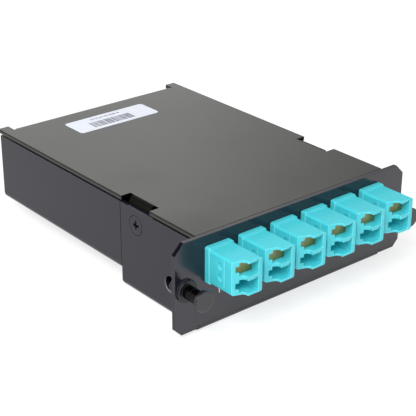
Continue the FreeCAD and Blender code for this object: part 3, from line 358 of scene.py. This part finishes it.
def rubbed_and_highlit_edges():
    """Group: turns a mask of sharp edges into broken patches along them: rubbed wear and painted
    highlight.
    """
    tree, given, out = new_group(
        "rubbed_and_highlit_edges", (("Edge", 0.0), ("Patch size", 0.004), ("Amount", 0.5)), ("Wear",))
    patch = noise(tree, object_place(tree), given.outputs["Patch size"], 3.0)
    broken = stretch(tree, patch, 0.35, 0.75, 0.15, 1.0)
    connect(tree, out, Wear=product(tree, given.outputs["Edge"], broken, given.outputs["Amount"]))


def between(tree, value, low, high):
    """1 where the value lies between two limits, each a number or an output, else 0."""
    return product(tree, calculate(tree, "GREATER_THAN", value, low),
                   calculate(tree, "LESS_THAN", value, high))


def root_of_squares(tree, first, second):
    """Length of the longest side of a right triangle: the square root of first^2 + second^2."""
    squares = total(tree, product(tree, first, first), product(tree, second, second))
    return calculate(tree, "POWER", squares, 0.5)


def distance_from(tree, place, axis):
    """Distance from an axis along X: the square root of (Y - axis Y)^2 + (Z - axis Z)^2."""
    return root_of_squares(tree, calculate(tree, "SUBTRACT", place["Y"], axis.y),
                           calculate(tree, "SUBTRACT", place["Z"], axis.z))


def painted_shade_places():
    """Group: masks of the small places where dark shade is painted, by where they are.

    Cover is 1 in the cover's side notches and on a line under the top of its side folds.
    Chassis is 1 round each screw's head and on the panel's upper corners, where |X| + Z is
    largest. Screw is 1 inside the recess of a screw's head; these three paint shade. Rim is 1
    on the outer edge of the holes in the side walls, where a highlight is painted.
    """
    tree, given, out = new_group(
        "painted_shade_places",
        (("Notch from", BODY_HALF - 4.2 * MM), ("Notch half", 8.4 * MM),
         ("Ring from", SCREW_HEAD_RADIUS), ("Ring to", SCREW_HEAD_RADIUS + 0.3 * MM)),
        ("Cover", "Chassis", "Screw", "Rim"))
    place = separated(tree, object_place(tree))
    across = calculate(tree, "ABSOLUTE", place["X"])
    along = calculate(tree, "ABSOLUTE", calculate(tree, "SUBTRACT", place["Y"], SCREW_AXIS.y))
    outside = calculate(tree, "GREATER_THAN", across, BODY_HALF - 0.3 * MM)
    notch = product(tree, calculate(tree, "GREATER_THAN", across, given.outputs["Notch from"]),
                    calculate(tree, "LESS_THAN", along, given.outputs["Notch half"]))
    line = product(tree, outside,
                   between(tree, place["Z"], PANEL_TOP - 0.5 * MM, PANEL_TOP - 0.08 * MM))
    ring = product(tree, outside, between(tree, distance_from(tree, place, SCREW_AXIS),
                                          given.outputs["Ring from"], given.outputs["Ring to"]))
    corner = calculate(tree, "GREATER_THAN", total(tree, across, place["Z"]),
                       PANEL_HALF + PANEL_TOP - PANEL_CHAMFER - 0.1 * MM)
    rim = product(tree, calculate(tree, "GREATER_THAN", across, BODY_HALF - 0.4 * MM),
                  between(tree, distance_from(tree, place, HOLE_AXIS),
                          HOLE_RADIUS - 0.2 * MM, HOLE_RADIUS + 0.02 * MM))
    sunk = stretch(tree, across, BODY_HALF - 0.4 * MM, BODY_HALF - 0.1 * MM, 1.0, 0.0)
    connect(tree, out, Cover=calculate(tree, "MAXIMUM", notch, line),
            Chassis=calculate(tree, "MAXIMUM", ring, corner), Screw=sunk, Rim=rim)


def drawn_lines():
    """Group: fine lines along X, as on cold-rolled strip, and slow stains across it."""
    tree, given, out = new_group("drawn_lines", (("Line spacing", 0.0002), ("Stain size", 0.003)),
                                 ("Lines", "Stains"))
    place = object_place(tree)
    mapping = add_node(tree, "ShaderNodeMapping", Scale=(0.06, 1.0, 1.0))
    connect(tree, mapping, Vector=place)
    connect(tree, out,
            Lines=noise(tree, mapping.outputs["Vector"], given.outputs["Line spacing"], 2.0),
            Stains=noise(tree, place, given.outputs["Stain size"], 4.0))


def group_node(tree, group, **values):
    """A shared group placed in a material, with this material's own values."""
    node = tree.nodes.new("ShaderNodeGroup")
    node.node_tree = bpy.data.node_groups[group]
    set_inputs(node, **values)
    return node


def new_material(name, **sockets):
    """Material with one Principled shader; each value sets one of the shader's own sockets."""
    material = bpy.data.materials.new(name)
    material.use_nodes = True
    shader = material.node_tree.nodes["Principled BSDF"]
    set_inputs(shader, **sockets)
    return material, material.node_tree, shader


def soft_edge(tree, radius):
    """Normal rounded over the sharp edges, and a mask that is 1 on them.

    The mask is taken from the cosine of the angle between the rounded and the true normal.
    """
    bevel = add_node(tree, "ShaderNodeBevel", Radius=radius)
    bevel.samples = 6
    cosine = tree.nodes.new("ShaderNodeVectorMath")
    cosine.operation = "DOT_PRODUCT"
    tree.links.new(bevel.outputs["Normal"], cosine.inputs[0])
    tree.links.new(tree.nodes.new("ShaderNodeNewGeometry").outputs["Normal"], cosine.inputs[1])
    return bevel.outputs["Normal"], stretch(tree, cosine.outputs["Value"], 0.995, 0.80, 0.0, 1.0)


def bump(tree, shader, height, depth, normal=None):
    """Bump of a real depth from a height between 0 and 1."""
    node = add_node(tree, "ShaderNodeBump", Strength=1.0, Distance=depth)
    connect(tree, node, Height=height)
    if normal is not None:
        connect(tree, node, Normal=normal)
    connect(tree, shader, Normal=node.outputs["Normal"])


def scaled(colour, factor):
    """The same colour, lighter or darker."""
    return tuple(min(1.0, part * factor) for part in colour)


def shaded(tree, mask, colour, darkest, lightest):
    """The colour, wandering between a darker and a lighter shade of it as the mask does."""
    return blend_colours(tree, mask, scaled(colour, darkest), scaled(colour, lightest))


# ---- materials --------------------------------------------------------------------------------
# Painted highlight on the rims of the holes in the side walls.
RIM_HIGHLIGHT_COLOUR = (0.24, 0.24, 0.26)
# Painted shade on the plunger's pin.
PIN_SHADE_COLOUR = (0.014, 0.014, 0.016)


def powder_coat(name, colour, coat, mask):
    """Satin powder coat: orange peel, faint hand marks, edges rounded, rubbed and painted lighter
    as a highlight.

    Where the named mask of the painted shade group is 1, shade is painted as dark metal that
    reflects little.
    """
    material, tree, shader = new_material(name, Specular_IOR_Level=0.5)
    grain = group_node(tree, "surface_grain", Grain_size=coat.peel_size, Mottle_size=0.035,
                       Roughness=coat.roughness, Spread=0.10)
    hands = group_node(tree, "handling_marks", Scratch_spacing=0.007, Smudge_size=0.03)
    normal, edge = soft_edge(tree, coat.edge_radius)
    # Edges painted lighter: rubbed wear and painted highlight.
    wear_and_highlight = group_node(tree, "rubbed_and_highlit_edges", Patch_size=0.003, Amount=0.7)
    connect(tree, wear_and_highlight, Edge=edge)
    places = group_node(tree, "painted_shade_places")
    painted_shade = places.outputs[mask]
    base = shaded(tree, grain.outputs["Mottle"], colour, 0.93, 1.07)
    marked = blend_colours(tree, product(tree, hands.outputs["Scratches"], 0.10),
                           base, scaled(colour, 1.6))
    rubbed = blend_colours(tree, wear_and_highlight.outputs["Wear"], marked, tuple(coat.worn_and_highlight_colour))
    # Painted highlight on the rims of the side walls' holes.
    rim_highlighted = blend_colours(tree, places.outputs["Rim"], rubbed, RIM_HIGHLIGHT_COLOUR)
    satin = total(tree, grain.outputs["Roughness"], product(tree, hands.outputs["Smudges"], 0.05))
    # Painted shade: where the mask is 1 the coat turns dark and metallic, so it reflects little.
    connect(tree, shader, Base_Color=blend_colours(tree, painted_shade, rim_highlighted, scaled(colour, 0.7)),
            Metallic=painted_shade, Roughness=calculate(tree, "MAXIMUM", satin, product(tree, painted_shade, 0.5)))
    bump(tree, shader, grain.outputs["Height"], coat.peel_depth, normal)
    return material


def moulding(name, colour, roughness, grain_size, depth, edge_radius=0.12 * MM, edge_highlight_share=0.25,
             edge_highlight_colour=None, **sockets):
    """Moulded plastic: fine mould grain of a real depth, slow shade changes and soft edges.

    The edges take a share of their own painted highlight colour, a lighter shade if none is given.
    """
    material, tree, shader = new_material(name, **sockets)
    grain = group_node(tree, "surface_grain", Grain_size=grain_size, Mottle_size=0.008,
                       Roughness=roughness, Spread=0.10)
    normal, edge = soft_edge(tree, edge_radius)
    base = shaded(tree, grain.outputs["Mottle"], colour, 0.94, 1.06)
    # Painted highlight on the edges.
    lit = blend_colours(tree, product(tree, edge, edge_highlight_share), base,
                        edge_highlight_colour or scaled(colour, 1.5))
    connect(tree, shader, Base_Color=lit, Roughness=grain.outputs["Roughness"])
    bump(tree, shader, grain.outputs["Height"], depth, normal)
    return material


def strip_metal(name, colour, stain, roughness, line_spacing):
    """Bare metal: drawn lines, slow stains that dull it, and soft edges with a painted highlight.

    Roughness is the base, plus a share of the stains' distance from their middle, 0.5, plus a
    smaller share of the lines'.
    """
    stain_share, line_share = 0.2, 0.12
    material, tree, shader = new_material(name, Metallic=1.0)
    lines = group_node(tree, "drawn_lines", Line_spacing=line_spacing, Stain_size=0.002)
    normal, edge = soft_edge(tree, 0.06 * MM)
    base = blend_colours(tree, stretch(tree, lines.outputs["Stains"], 0.35, 0.7, 0.0, 1.0),
                         colour, stain)
    # Painted highlight on the edges.
    lit = blend_colours(tree, product(tree, edge, 0.4), base, scaled(colour, 1.4))
    rough = total(tree, product(tree, lines.outputs["Stains"], stain_share),
                  product(tree, lines.outputs["Lines"], line_share),
                  roughness - 0.5 * (stain_share + line_share))
    connect(tree, shader, Base_Color=lit, Roughness=rough)
    bump(tree, shader, lines.outputs["Lines"], 0.003 * MM, normal)
    return material


def printed_ink(name, colour):
    """Printed film: slightly uneven cover and a dull sheen."""
    material, tree, shader = new_material(name)
    grain = group_node(tree, "surface_grain", Grain_size=0.08 * MM, Mottle_size=0.6 * MM,
                       Roughness=0.55, Spread=0.15)
    connect(tree, shader, Base_Color=shaded(tree, grain.outputs["Mottle"], colour, 0.85, 1.1),
            Roughness=grain.outputs["Roughness"])
    bump(tree, shader, grain.outputs["Height"], 0.002 * MM)
    return material


def paint_pin_shade(material):
    """Paint shade on everything behind the knob: the plunger's pin, as dark metal that reflects
    little.
    """
    tree = material.node_tree
    shader = tree.nodes["Principled BSDF"]
    pin = calculate(tree, "GREATER_THAN", separated(tree, object_place(tree))["Y"], KNOB_BACK_Y)
    nylon = shader.inputs["Base Color"].links[0].from_socket
    connect(tree, shader, Metallic=pin, Base_Color=blend_colours(tree, pin, nylon, PIN_SHADE_COLOUR))


def finish(material, *nodes):
    """Give CAD nodes a material."""
    for name in nodes:
        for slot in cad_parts[name].material_slots:
            slot.material = material


def numbered(stem, count):
    """Names such as adapter_1 to adapter_6."""
    return ["%s_%d" % (stem, number) for number in range(1, count + 1)]


# ---- printed marks ----------------------------------------------------------------------------
def arc(centre, radius, start, end, count=14):
    """Points on a circle between two angles in degrees: centre + radius (cos t, sin t)."""
    turn = np.radians(np.linspace(start, end, count))
    return np.stack((centre[0] + radius * np.cos(turn), centre[1] + radius * np.sin(turn)), 1)


def joined(*parts):
    """One path from several runs of points."""
    return np.concatenate([np.asarray(part, float) for part in parts])


def number_strokes(number):
    """Middle lines of a digit in a box 0.6 wide and 1 high, one array of points a stroke."""
    strokes = {
        1: [[(0.10, 0.80), (0.33, 1.0)], [(0.33, 1.0), (0.33, 0.0)]],
        2: [joined(arc((0.30, 0.70), 0.30, 170, -35), [(0.02, 0.0)]), [(0.0, 0.0), (0.60, 0.0)]],
        3: [arc((0.28, 0.75), 0.25, 150, -90), arc((0.28, 0.26), 0.26, 90, -150)],
        4: [[(0.45, 0.0), (0.45, 1.0)], [(0.45, 1.0), (0.0, 0.3)], [(0.0, 0.3), (0.60, 0.3)]],
        5: [[(0.52, 1.0), (0.10, 1.0)], [(0.10, 1.0), (0.07, 0.54)],
            arc((0.28, 0.31), 0.31, 132, -140)],
        6: [arc((0.30, 0.30), 0.30, 0, 360, 28), arc((0.72, 0.38), 0.72, 172, 120)],
    }
    return [np.asarray(stroke, float) for stroke in strokes[number]]


def bar_along(path, width, low, high):
    """Flat bar carried along a path in the plane: vertices (4 a point) and quads.

    At each point the section is the rectangle path + a n + h z, with n the path's unit normal,
    a = -width / 2 or width / 2, and h = low or high.
    """
    tangent = np.gradient(path, axis=0)
    tangent /= np.linalg.norm(tangent, axis=1, keepdims=True)
    normal = np.stack((-tangent[:, 1], tangent[:, 0]), 1)
    across = np.array([-0.5, 0.5, 0.5, -0.5]) * width
    height = np.array([low, low, high, high])
    flat = path[:, None, :] + across[None, :, None] * normal[:, None, :]
    count = len(path)
    vertices = np.concatenate((flat, np.broadcast_to(height[None, :, None], (count, 4, 1))), 2)
    ring = np.arange(count - 1)[:, None] * 4
    side = np.arange(4)[None, :]
    after = (side + 1) % 4
    quads = np.stack((ring + side, ring + after, ring + 4 + after, ring + 4 + side), 2)
    last = 4 * (count - 1)
    ends = np.array([[3, 2, 1, 0], [last, last + 1, last + 2, last + 3]])
    return vertices.reshape(-1, 3), np.concatenate((quads.reshape(-1, 4), ends))


def printed_piece(name, bars, axes, origin, body, material):
    """One mesh of many flat bars.

    A bar's point (u, v, h) goes to origin + u axes[0] + v axes[1] + h axes[2].
    """
    vertices, faces, start = [], [], 0
    for points, quads in bars:
        vertices.append(points)
        faces.append(quads + start)
        start += len(points)
    placed = np.asarray(origin) + np.concatenate(vertices) @ np.asarray(axes, float)
    mesh = bpy.data.meshes.new(name)
    mesh.from_pydata(placed.tolist(), [], np.concatenate(faces).tolist())
    mesh.validate()
    mesh.materials.append(material)
    piece = bpy.data.objects.new(name, mesh)
    bpy.context.scene.collection.objects.link(piece)
    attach(piece, body)
    return piece


def straight(u0, v0, u1, v1):
    """Path of two points."""
    return np.array([[u0, v0], [u1, v1]])


def uneven_marks(draw, widths, count, start, span):
    """Start and end of each mark in a row of so many.

    Widths of gaps and marks are drawn at random from a few, added up one after the other from
    the start, and scaled so that the last mark ends at start + span.
    """
    edges = np.cumsum(draw.choice(widths, 2 * count))
    edges = start + edges * (span / edges[-1])
    return zip(edges[0::2], edges[1::2])


# ---- operators --------------------------------------------------------------------------------
class CASSETTE_OT_shader_groups(bpy.types.Operator):
    """Make the shader groups that the finishes share"""

    bl_idname = "cassette.shader_groups"
    bl_label = "Make the shared groups"

    def execute(self, context):
        for make in (surface_grain, handling_marks, rubbed_and_highlit_edges, painted_shade_places, drawn_lines):
            make()
        return {"FINISHED"}


class CASSETTE_OT_coat_sheets(bpy.types.Operator):
    """Powder-coat the folded chassis and cover"""

    bl_idname = "cassette.coat_sheets"
    bl_label = "Coat the sheets"

    def execute(self, context):
        coat = context.scene.cassette_coat
        # The masks paint shade in the cover's notches and under its folds, round the screw heads
        # and on the panel's upper corners.
        finish(powder_coat("powder_coat_walls", tuple(coat.wall_colour), coat, "Chassis"),
               "chassis")
        finish(powder_coat("powder_coat_cover", tuple(coat.cover_colour), coat, "Cover"), "cover")
        return {"FINISHED"}


class CASSETTE_OT_finish_adapters(bpy.types.Operator):
    """Finish the duplex adapters, their shutters, sleeves and clips"""

    bl_idname = "cassette.finish_adapters"
    bl_label = "Finish the adapters"

    def execute(self, context):
        look = context.scene.cassette_moulding
        metal = context.scene.cassette_metal
        aqua = moulding("aqua_housing", tuple(look.aqua), look.roughness, look.grain_size,
                        0.006 * MM, edge_radius=0.35 * MM, edge_highlight_share=0.5,
                        edge_highlight_colour=tuple(look.aqua_edge_highlight),
                        Subsurface_Weight=0.25, Subsurface_Radius=(0.2, 1.0, 1.0),
                        Subsurface_Scale=1.5 * MM, Specular_Tint=(0.9, 0.97, 1.0, 1.0),
                        # The housings glow faintly: painted light that lifts their shaded faces.
                        Emission_Color=(0.0, 0.45, 0.50, 1.0), Emission_Strength=0.10)
        finish(aqua, *numbered("adapter", ADAPTER_COUNT))
        bronze = tuple(metal.bronze)
        finish(strip_metal("shutter_bronze", bronze, scaled(bronze, 0.7), 0.50, 0.15 * MM),
               *numbered("shutter", ADAPTER_COUNT))
        steel = tuple(metal.steel)
        finish(strip_metal("clip_steel", steel, scaled(steel, 0.75), 0.38, 0.2 * MM),
               *numbered("adapter_clip", ADAPTER_COUNT))
        ceramic = moulding("zirconia", (0.86, 0.86, 0.82), 0.16, 0.1 * MM, 0.001 * MM,
                           Coat_Weight=0.3, Coat_Roughness=0.05)
        finish(ceramic, "lc_ferrules", *numbered("sleeves", ADAPTER_COUNT))
        return {"FINISHED"}


class CASSETTE_OT_finish_fasteners(bpy.types.Operator):
    """Finish the plungers, their grommets and the cover screws"""

    bl_idname = "cassette.finish_fasteners"
    bl_label = "Finish the plungers and screws"

    def execute(self, context):
        look = context.scene.cassette_moulding
        black = tuple(look.black)
        # Knob and grommet rims get a painted highlight.
        knob = moulding("plunger_nylon", black, 0.30, look.grain_size, 0.012 * MM,
                        edge_radius=0.25 * MM, edge_highlight_share=0.6, edge_highlight_colour=tuple(look.black_edge_highlight))
        # Painted shade on the pin behind the knob.
        paint_pin_shade(knob)
        finish(knob, "plunger_left", "plunger_right")
        finish(moulding("grommet_nylon", black, 0.36, look.grain_size, 0.008 * MM,
                        edge_radius=0.28 * MM, edge_highlight_share=0.8,
                        edge_highlight_colour=tuple(look.black_edge_highlight), Specular_IOR_Level=0.3),
               "grommet_left", "grommet_right")
        coat = context.scene.cassette_coat
        # Painted shade in the recess of each screw's head.
        finish(powder_coat("black_screw", tuple(coat.wall_colour), coat, "Screw"), "cover_screws")
        return {"FINISHED"}


class CASSETTE_OT_finish_inside(bpy.types.Operator):
    """Finish the plugs, fibres, breakout block and rear port"""

    bl_idname = "cassette.finish_inside"
    bl_label = "Finish the inner pieces"

    def execute(self, context):
        look = context.scene.cassette_moulding
        aqua = tuple(look.aqua)
        black = tuple(look.black)
        steel = tuple(context.scene.cassette_metal.steel)
        finish(moulding("plug_plastic", scaled(aqua, 0.95), 0.42, look.grain_size, 0.006 * MM),
               *numbered("lc_plug", PLUG_COUNT))
        finish(moulding("mpo_aqua", scaled(aqua, 0.9), 0.45, look.grain_size, 0.006 * MM),
               "mpo_plug")
        finish(moulding("boot_rubber", (0.70, 0.70, 0.67), 0.70, 0.4 * MM, 0.01 * MM),
               "lc_boots", "mpo_boot")
        finish(moulding("fibre_jacket", scaled(aqua, 0.9), 0.50, 0.3 * MM, 0.004 * MM),
               "fibres", "trunk_cable")
        finish(moulding("black_plastic", scaled(black, 1.4), 0.46, 0.4 * MM, 0.01 * MM),
               "mpo_adapter", "breakout_block", "breakout_cradle")
        finish(strip_metal("zinc_plate", scaled(steel, 1.1), scaled(steel, 0.85), 0.34, 0.3 * MM),
               "mpo_screws", "mpo_nuts")
        return {"FINISHED"}


class CASSETTE_OT_port_numbers(bpy.types.Operator):
    """Print a number on the panel below each adapter"""

    bl_idname = "cassette.port_numbers"
    bl_label = "Print the port numbers"

    def execute(self, context):
        ink = context.scene.cassette_print
        size = ink.number_height
        bars = []
        for number, (low, high) in enumerate(ADAPTER_BOXES, 1):
            corner = np.array([(low.x + high.x) / 2 + ink.number_shift - 0.3 * size,
                               (low.z + high.z) / 2 - ink.number_drop - size / 2])
            for stroke in number_strokes(number):
                bars.append(bar_along(corner + stroke * size, ink.stroke, 0.0, ink.film))
        printed_piece("port_numbers", bars, ((1, 0, 0), (0, 0, 1), (0, -1, 0)),
                      (0.0, PANEL_FACE_Y, 0.0), "cassette",
                      printed_ink("white_ink", tuple(ink.number_colour)))
        return {"FINISHED"}


class CASSETTE_OT_label(bpy.types.Operator):
    """Finish the label and print plain bars on it"""

    bl_idname = "cassette.label"
    bl_label = "Finish the label"

    def execute(self, context):
        ink = context.scene.cassette_print
        finish(moulding("label_stock", tuple(ink.label_colour), 0.45, 0.15 * MM, 0.003 * MM,
                        edge_radius=0.04 * MM), "label")
        low, high = LABEL_BOX
        length, width = high.x - low.x, high.y - low.y
        foot, head, line = (low.y + share * width for share in (0.16, 0.58, 0.80))
        draw = np.random.default_rng(4)
        bars = []
        for start, end in uneven_marks(draw, [0.25, 0.4, 0.6], 23,
                                       low.x + 0.20 * length, 0.52 * length):
            middle = (start + end) / 2
            bars.append(bar_along(straight(middle, foot, middle, head), end - start, 0.0, ink.film))
        for start, end in uneven_marks(draw, [0.3, 0.5, 0.9], 18,
                                       low.x + 0.28 * length, 0.37 * length):
            bars.append(bar_along(straight(start, line, end, line), 0.08 * width, 0.0, ink.film))
        printed_piece("label_print", bars, ((1, 0, 0), (0, 1, 0), (0, 0, 1)),
                      (0.0, 0.0, high.z), "cassette",
                      printed_ink("grey_ink", tuple(ink.mark_colour)))
        return {"FINISHED"}


class CASSETTE_OT_stage(bpy.types.Operator):
    """Set up the floor, the surroundings, the lights and the camera"""

    bl_idname = "cassette.stage"
    bl_label = "Set up the studio"

    def execute(self, context):
        studio = context.scene.cassette_studio
        context.scene.view_settings.view_transform = "Standard"
        make_floor()
        make_surroundings(context.scene, studio)
        aim = (CAD_BOX[0] + CAD_BOX[1]) / 2
        make_light("key_light", aim, Vector((-0.60, -0.40, 0.68)), 0.5, studio.key)
        make_light("overhead_light", aim, Vector((0.10, 0.10, 1.0)), 0.9, studio.fill)
        make_camera(context.scene, studio)
        return {"FINISHED"}


# ---- stage ------------------------------------------------------------------------------------
FLOOR_HALF = 3.0
FLOOR_COLOUR = (0.86, 0.86, 0.86)     # as it passes light on to the cassette
FLOOR_SEEN = (0.30, 0.30, 0.30)       # as it is seen, with its own glow on top
GLOW_FROM, GLOW_TO = 0.12, 0.45       # from the middle, between these the glow rises
GLOW_NEAR, GLOW_FAR = 0.73, 0.90
MIRRORED_FRONT, MIRRORED_ELSEWHERE = 1.10, 0.42    # the floor in a reflection

# The surroundings in a reflection, in degrees: over the horizon, and clockwise from +Y.
LIGHTER_FROM, LIGHTEST_AT, CEILING_FROM = 21.0, 29.0, 34.0
LIGHTEST = 1.45
FLAG_HEADING = 62.0
FLAG_MIDDLE, FLAG_END = 10.0, 24.0    # from its heading: where its side starts to fade, and ends


def make_floor():
    """Square floor under the cassette; it looks white and keeps the cassette's shadow.

    Its own glow rises with the distance from the middle, the square root of X^2 + Y^2, because
    the lights fall off there. In a reflection it is lighter in front of the panel than beside and
    behind the cassette.
    """
    corners = np.array([[-1, -1, 0], [1, -1, 0], [1, 1, 0], [-1, 1, 0]]) * FLOOR_HALF
    mesh = bpy.data.meshes.new("floor")
    mesh.from_pydata(corners.tolist(), [], [(0, 1, 2, 3)])
    material, tree, shader = new_material("white_floor", Roughness=0.9, Specular_IOR_Level=0.0,
                                          Emission_Color=(1.0, 1.0, 1.0, 1.0))
    seen = tree.nodes.new("ShaderNodeLightPath").outputs
    place = separated(tree, object_place(tree))
    shown = calculate(tree, "MAXIMUM", seen["Is Camera Ray"], seen["Is Glossy Ray"])
    white = stretch(tree, root_of_squares(tree, place["X"], place["Y"]),
                    GLOW_FROM, GLOW_TO, GLOW_NEAR, GLOW_FAR)
    mirrored = stretch(tree, place["Y"], PANEL_FACE_Y - 4 * MM, PANEL_FACE_Y,
                       MIRRORED_FRONT, MIRRORED_ELSEWHERE)
    connect(tree, shader, Base_Color=blend_colours(tree, shown, FLOOR_COLOUR, FLOOR_SEEN),
            Emission_Strength=total(tree, product(tree, seen["Is Camera Ray"], white),
                                    product(tree, seen["Is Glossy Ray"], mirrored)))
    mesh.materials.append(material)
    floor = bpy.data.objects.new("floor", mesh)
    bpy.context.scene.collection.objects.link(floor)


def make_surroundings(scene, studio):
    """White all round: full white where it is seen, softer where it lights.

    In a reflection it is white up to LIGHTER_FROM over the horizon, grows lighter up to
    LIGHTEST_AT, and fades from there to the dark ceiling at CEILING_FROM. A dark flag stands
    behind on the right, at FLAG_HEADING; its sides fade between FLAG_MIDDLE and FLAG_END away
    from it. The height over the horizon is the arc sine of the direction's Z, and the heading is
    the arc tangent of X over Y.
    """
    lighter_from, lightest_at, ceiling_from = (
        math.sin(math.radians(angle)) for angle in (LIGHTER_FROM, LIGHTEST_AT, CEILING_FROM))
    world = bpy.data.worlds.new("studio")
    world.use_nodes = True
    tree = world.node_tree
    background = tree.nodes["Background"]
    background.inputs["Color"].default_value = (1.0, 1.0, 1.0, 1.0)
    seen = tree.nodes.new("ShaderNodeLightPath").outputs
    towards = separated(tree, tree.nodes.new("ShaderNodeTexCoord").outputs["Generated"])
    rise = stretch(tree, towards["Z"], lighter_from, lightest_at, 1.0, LIGHTEST)
    fade = stretch(tree, towards["Z"], lightest_at, ceiling_from, 1.0, studio.ceiling)
    heading = calculate(tree, "ARCTAN2", towards["X"], towards["Y"])
    away = calculate(tree, "ABSOLUTE",
                     calculate(tree, "SUBTRACT", heading, math.radians(FLAG_HEADING)))
    side = stretch(tree, away, math.radians(FLAG_MIDDLE), math.radians(FLAG_END), studio.flag, 1.0)
    mirrored = product(tree, rise, fade, side, studio.mirrored)
    lighting = calculate(tree, "SUBTRACT", 1.0, calculate(tree, "MAXIMUM", seen["Is Camera Ray"],
                                                          seen["Is Glossy Ray"]))
    connect(tree, background, Strength=total(tree, seen["Is Camera Ray"],
                                             product(tree, seen["Is Glossy Ray"], mirrored),
                                             product(tree, lighting, studio.sky)))
    scene.world = world


def make_light(name, aim, direction, size, power):
    """Square softbox a metre from the cassette, turned towards it."""
    light = bpy.data.lights.new(name, "AREA")
    light.shape = "SQUARE"
    light.size = size
    light.energy = power
    lamp = bpy.data.objects.new(name, light)
    away = direction.normalized()
    turn = away.to_track_quat("Z", "Y").to_matrix().to_4x4()
    lamp.matrix_world = Matrix.Translation(aim + away) @ turn
    bpy.context.scene.collection.objects.link(lamp)


def make_camera(scene, studio):
    """Camera that heads clockwise from +Y, looks down and is rolled a little about its own view."""
    lens = bpy.data.cameras.new("camera")
    lens.sensor_width = 36.0
    lens.lens = studio.lens
    lens.clip_start = 0.01
    camera = bpy.data.objects.new("camera", lens)
    camera.matrix_world = (Matrix.Translation(studio.camera_place)
                           @ Matrix.Rotation(-studio.camera_turn, 4, "Z")
                           @ Matrix.Rotation(math.pi / 2 - studio.camera_tilt, 4, "X")
                           @ Matrix.Rotation(studio.camera_roll, 4, "Z"))
    scene.collection.objects.link(camera)
    scene.camera = camera


# ---- sidebar and registration -----------------------------------------------------------------
class CASSETTE_PT_sidebar(bpy.types.Panel):
    """Settings and steps of the cassette"""

    bl_label = "Fibre cassette"
    bl_idname = "CASSETTE_PT_sidebar"
    bl_space_type = "VIEW_3D"
    bl_region_type = "UI"
    bl_category = "Fibre cassette"

    def draw(self, context):
        for attribute, group in SECTIONS:
            settings = getattr(context.scene, attribute)
            box = self.layout.box()
            box.label(text=group.__doc__)
            for name in group.__annotations__:
                box.prop(settings, name)
        for operator in STEPS:
            self.layout.operator(operator.bl_idname)


SECTIONS = (
    ("cassette_coat", CoatSettings),
    ("cassette_moulding", MouldingSettings),
    ("cassette_metal", MetalSettings),
    ("cassette_print", PrintSettings),
    ("cassette_studio", StudioSettings),
)
STEPS = (
    CASSETTE_OT_shader_groups,
    CASSETTE_OT_coat_sheets,
    CASSETTE_OT_finish_adapters,
    CASSETTE_OT_finish_fasteners,
    CASSETTE_OT_finish_inside,
    CASSETTE_OT_port_numbers,
    CASSETTE_OT_label,
    CASSETTE_OT_stage,
)


def register():
    """Register the settings, the steps and the panel."""
    for attribute, group in SECTIONS:
        bpy.utils.register_class(group)
        setattr(bpy.types.Scene, attribute, bpy.props.PointerProperty(type=group))
    for operator in STEPS:
        bpy.utils.register_class(operator)
    bpy.utils.register_class(CASSETTE_PT_sidebar)


def unregister():
    """Undo register."""
    bpy.utils.unregister_class(CASSETTE_PT_sidebar)
    for operator in reversed(STEPS):
        bpy.utils.unregister_class(operator)
    for attribute, group in reversed(SECTIONS):
        delattr(bpy.types.Scene, attribute)
        bpy.utils.unregister_class(group)


def main():
    """Register and run every step in order."""
    register()
    bpy.ops.cassette.shader_groups()
    bpy.ops.cassette.coat_sheets()
    bpy.ops.cassette.finish_adapters()
    bpy.ops.cassette.finish_fasteners()
    bpy.ops.cassette.finish_inside()
    bpy.ops.cassette.port_numbers()
    bpy.ops.cassette.label()
    bpy.ops.cassette.stage()


if __name__ == "__main__":
    main()
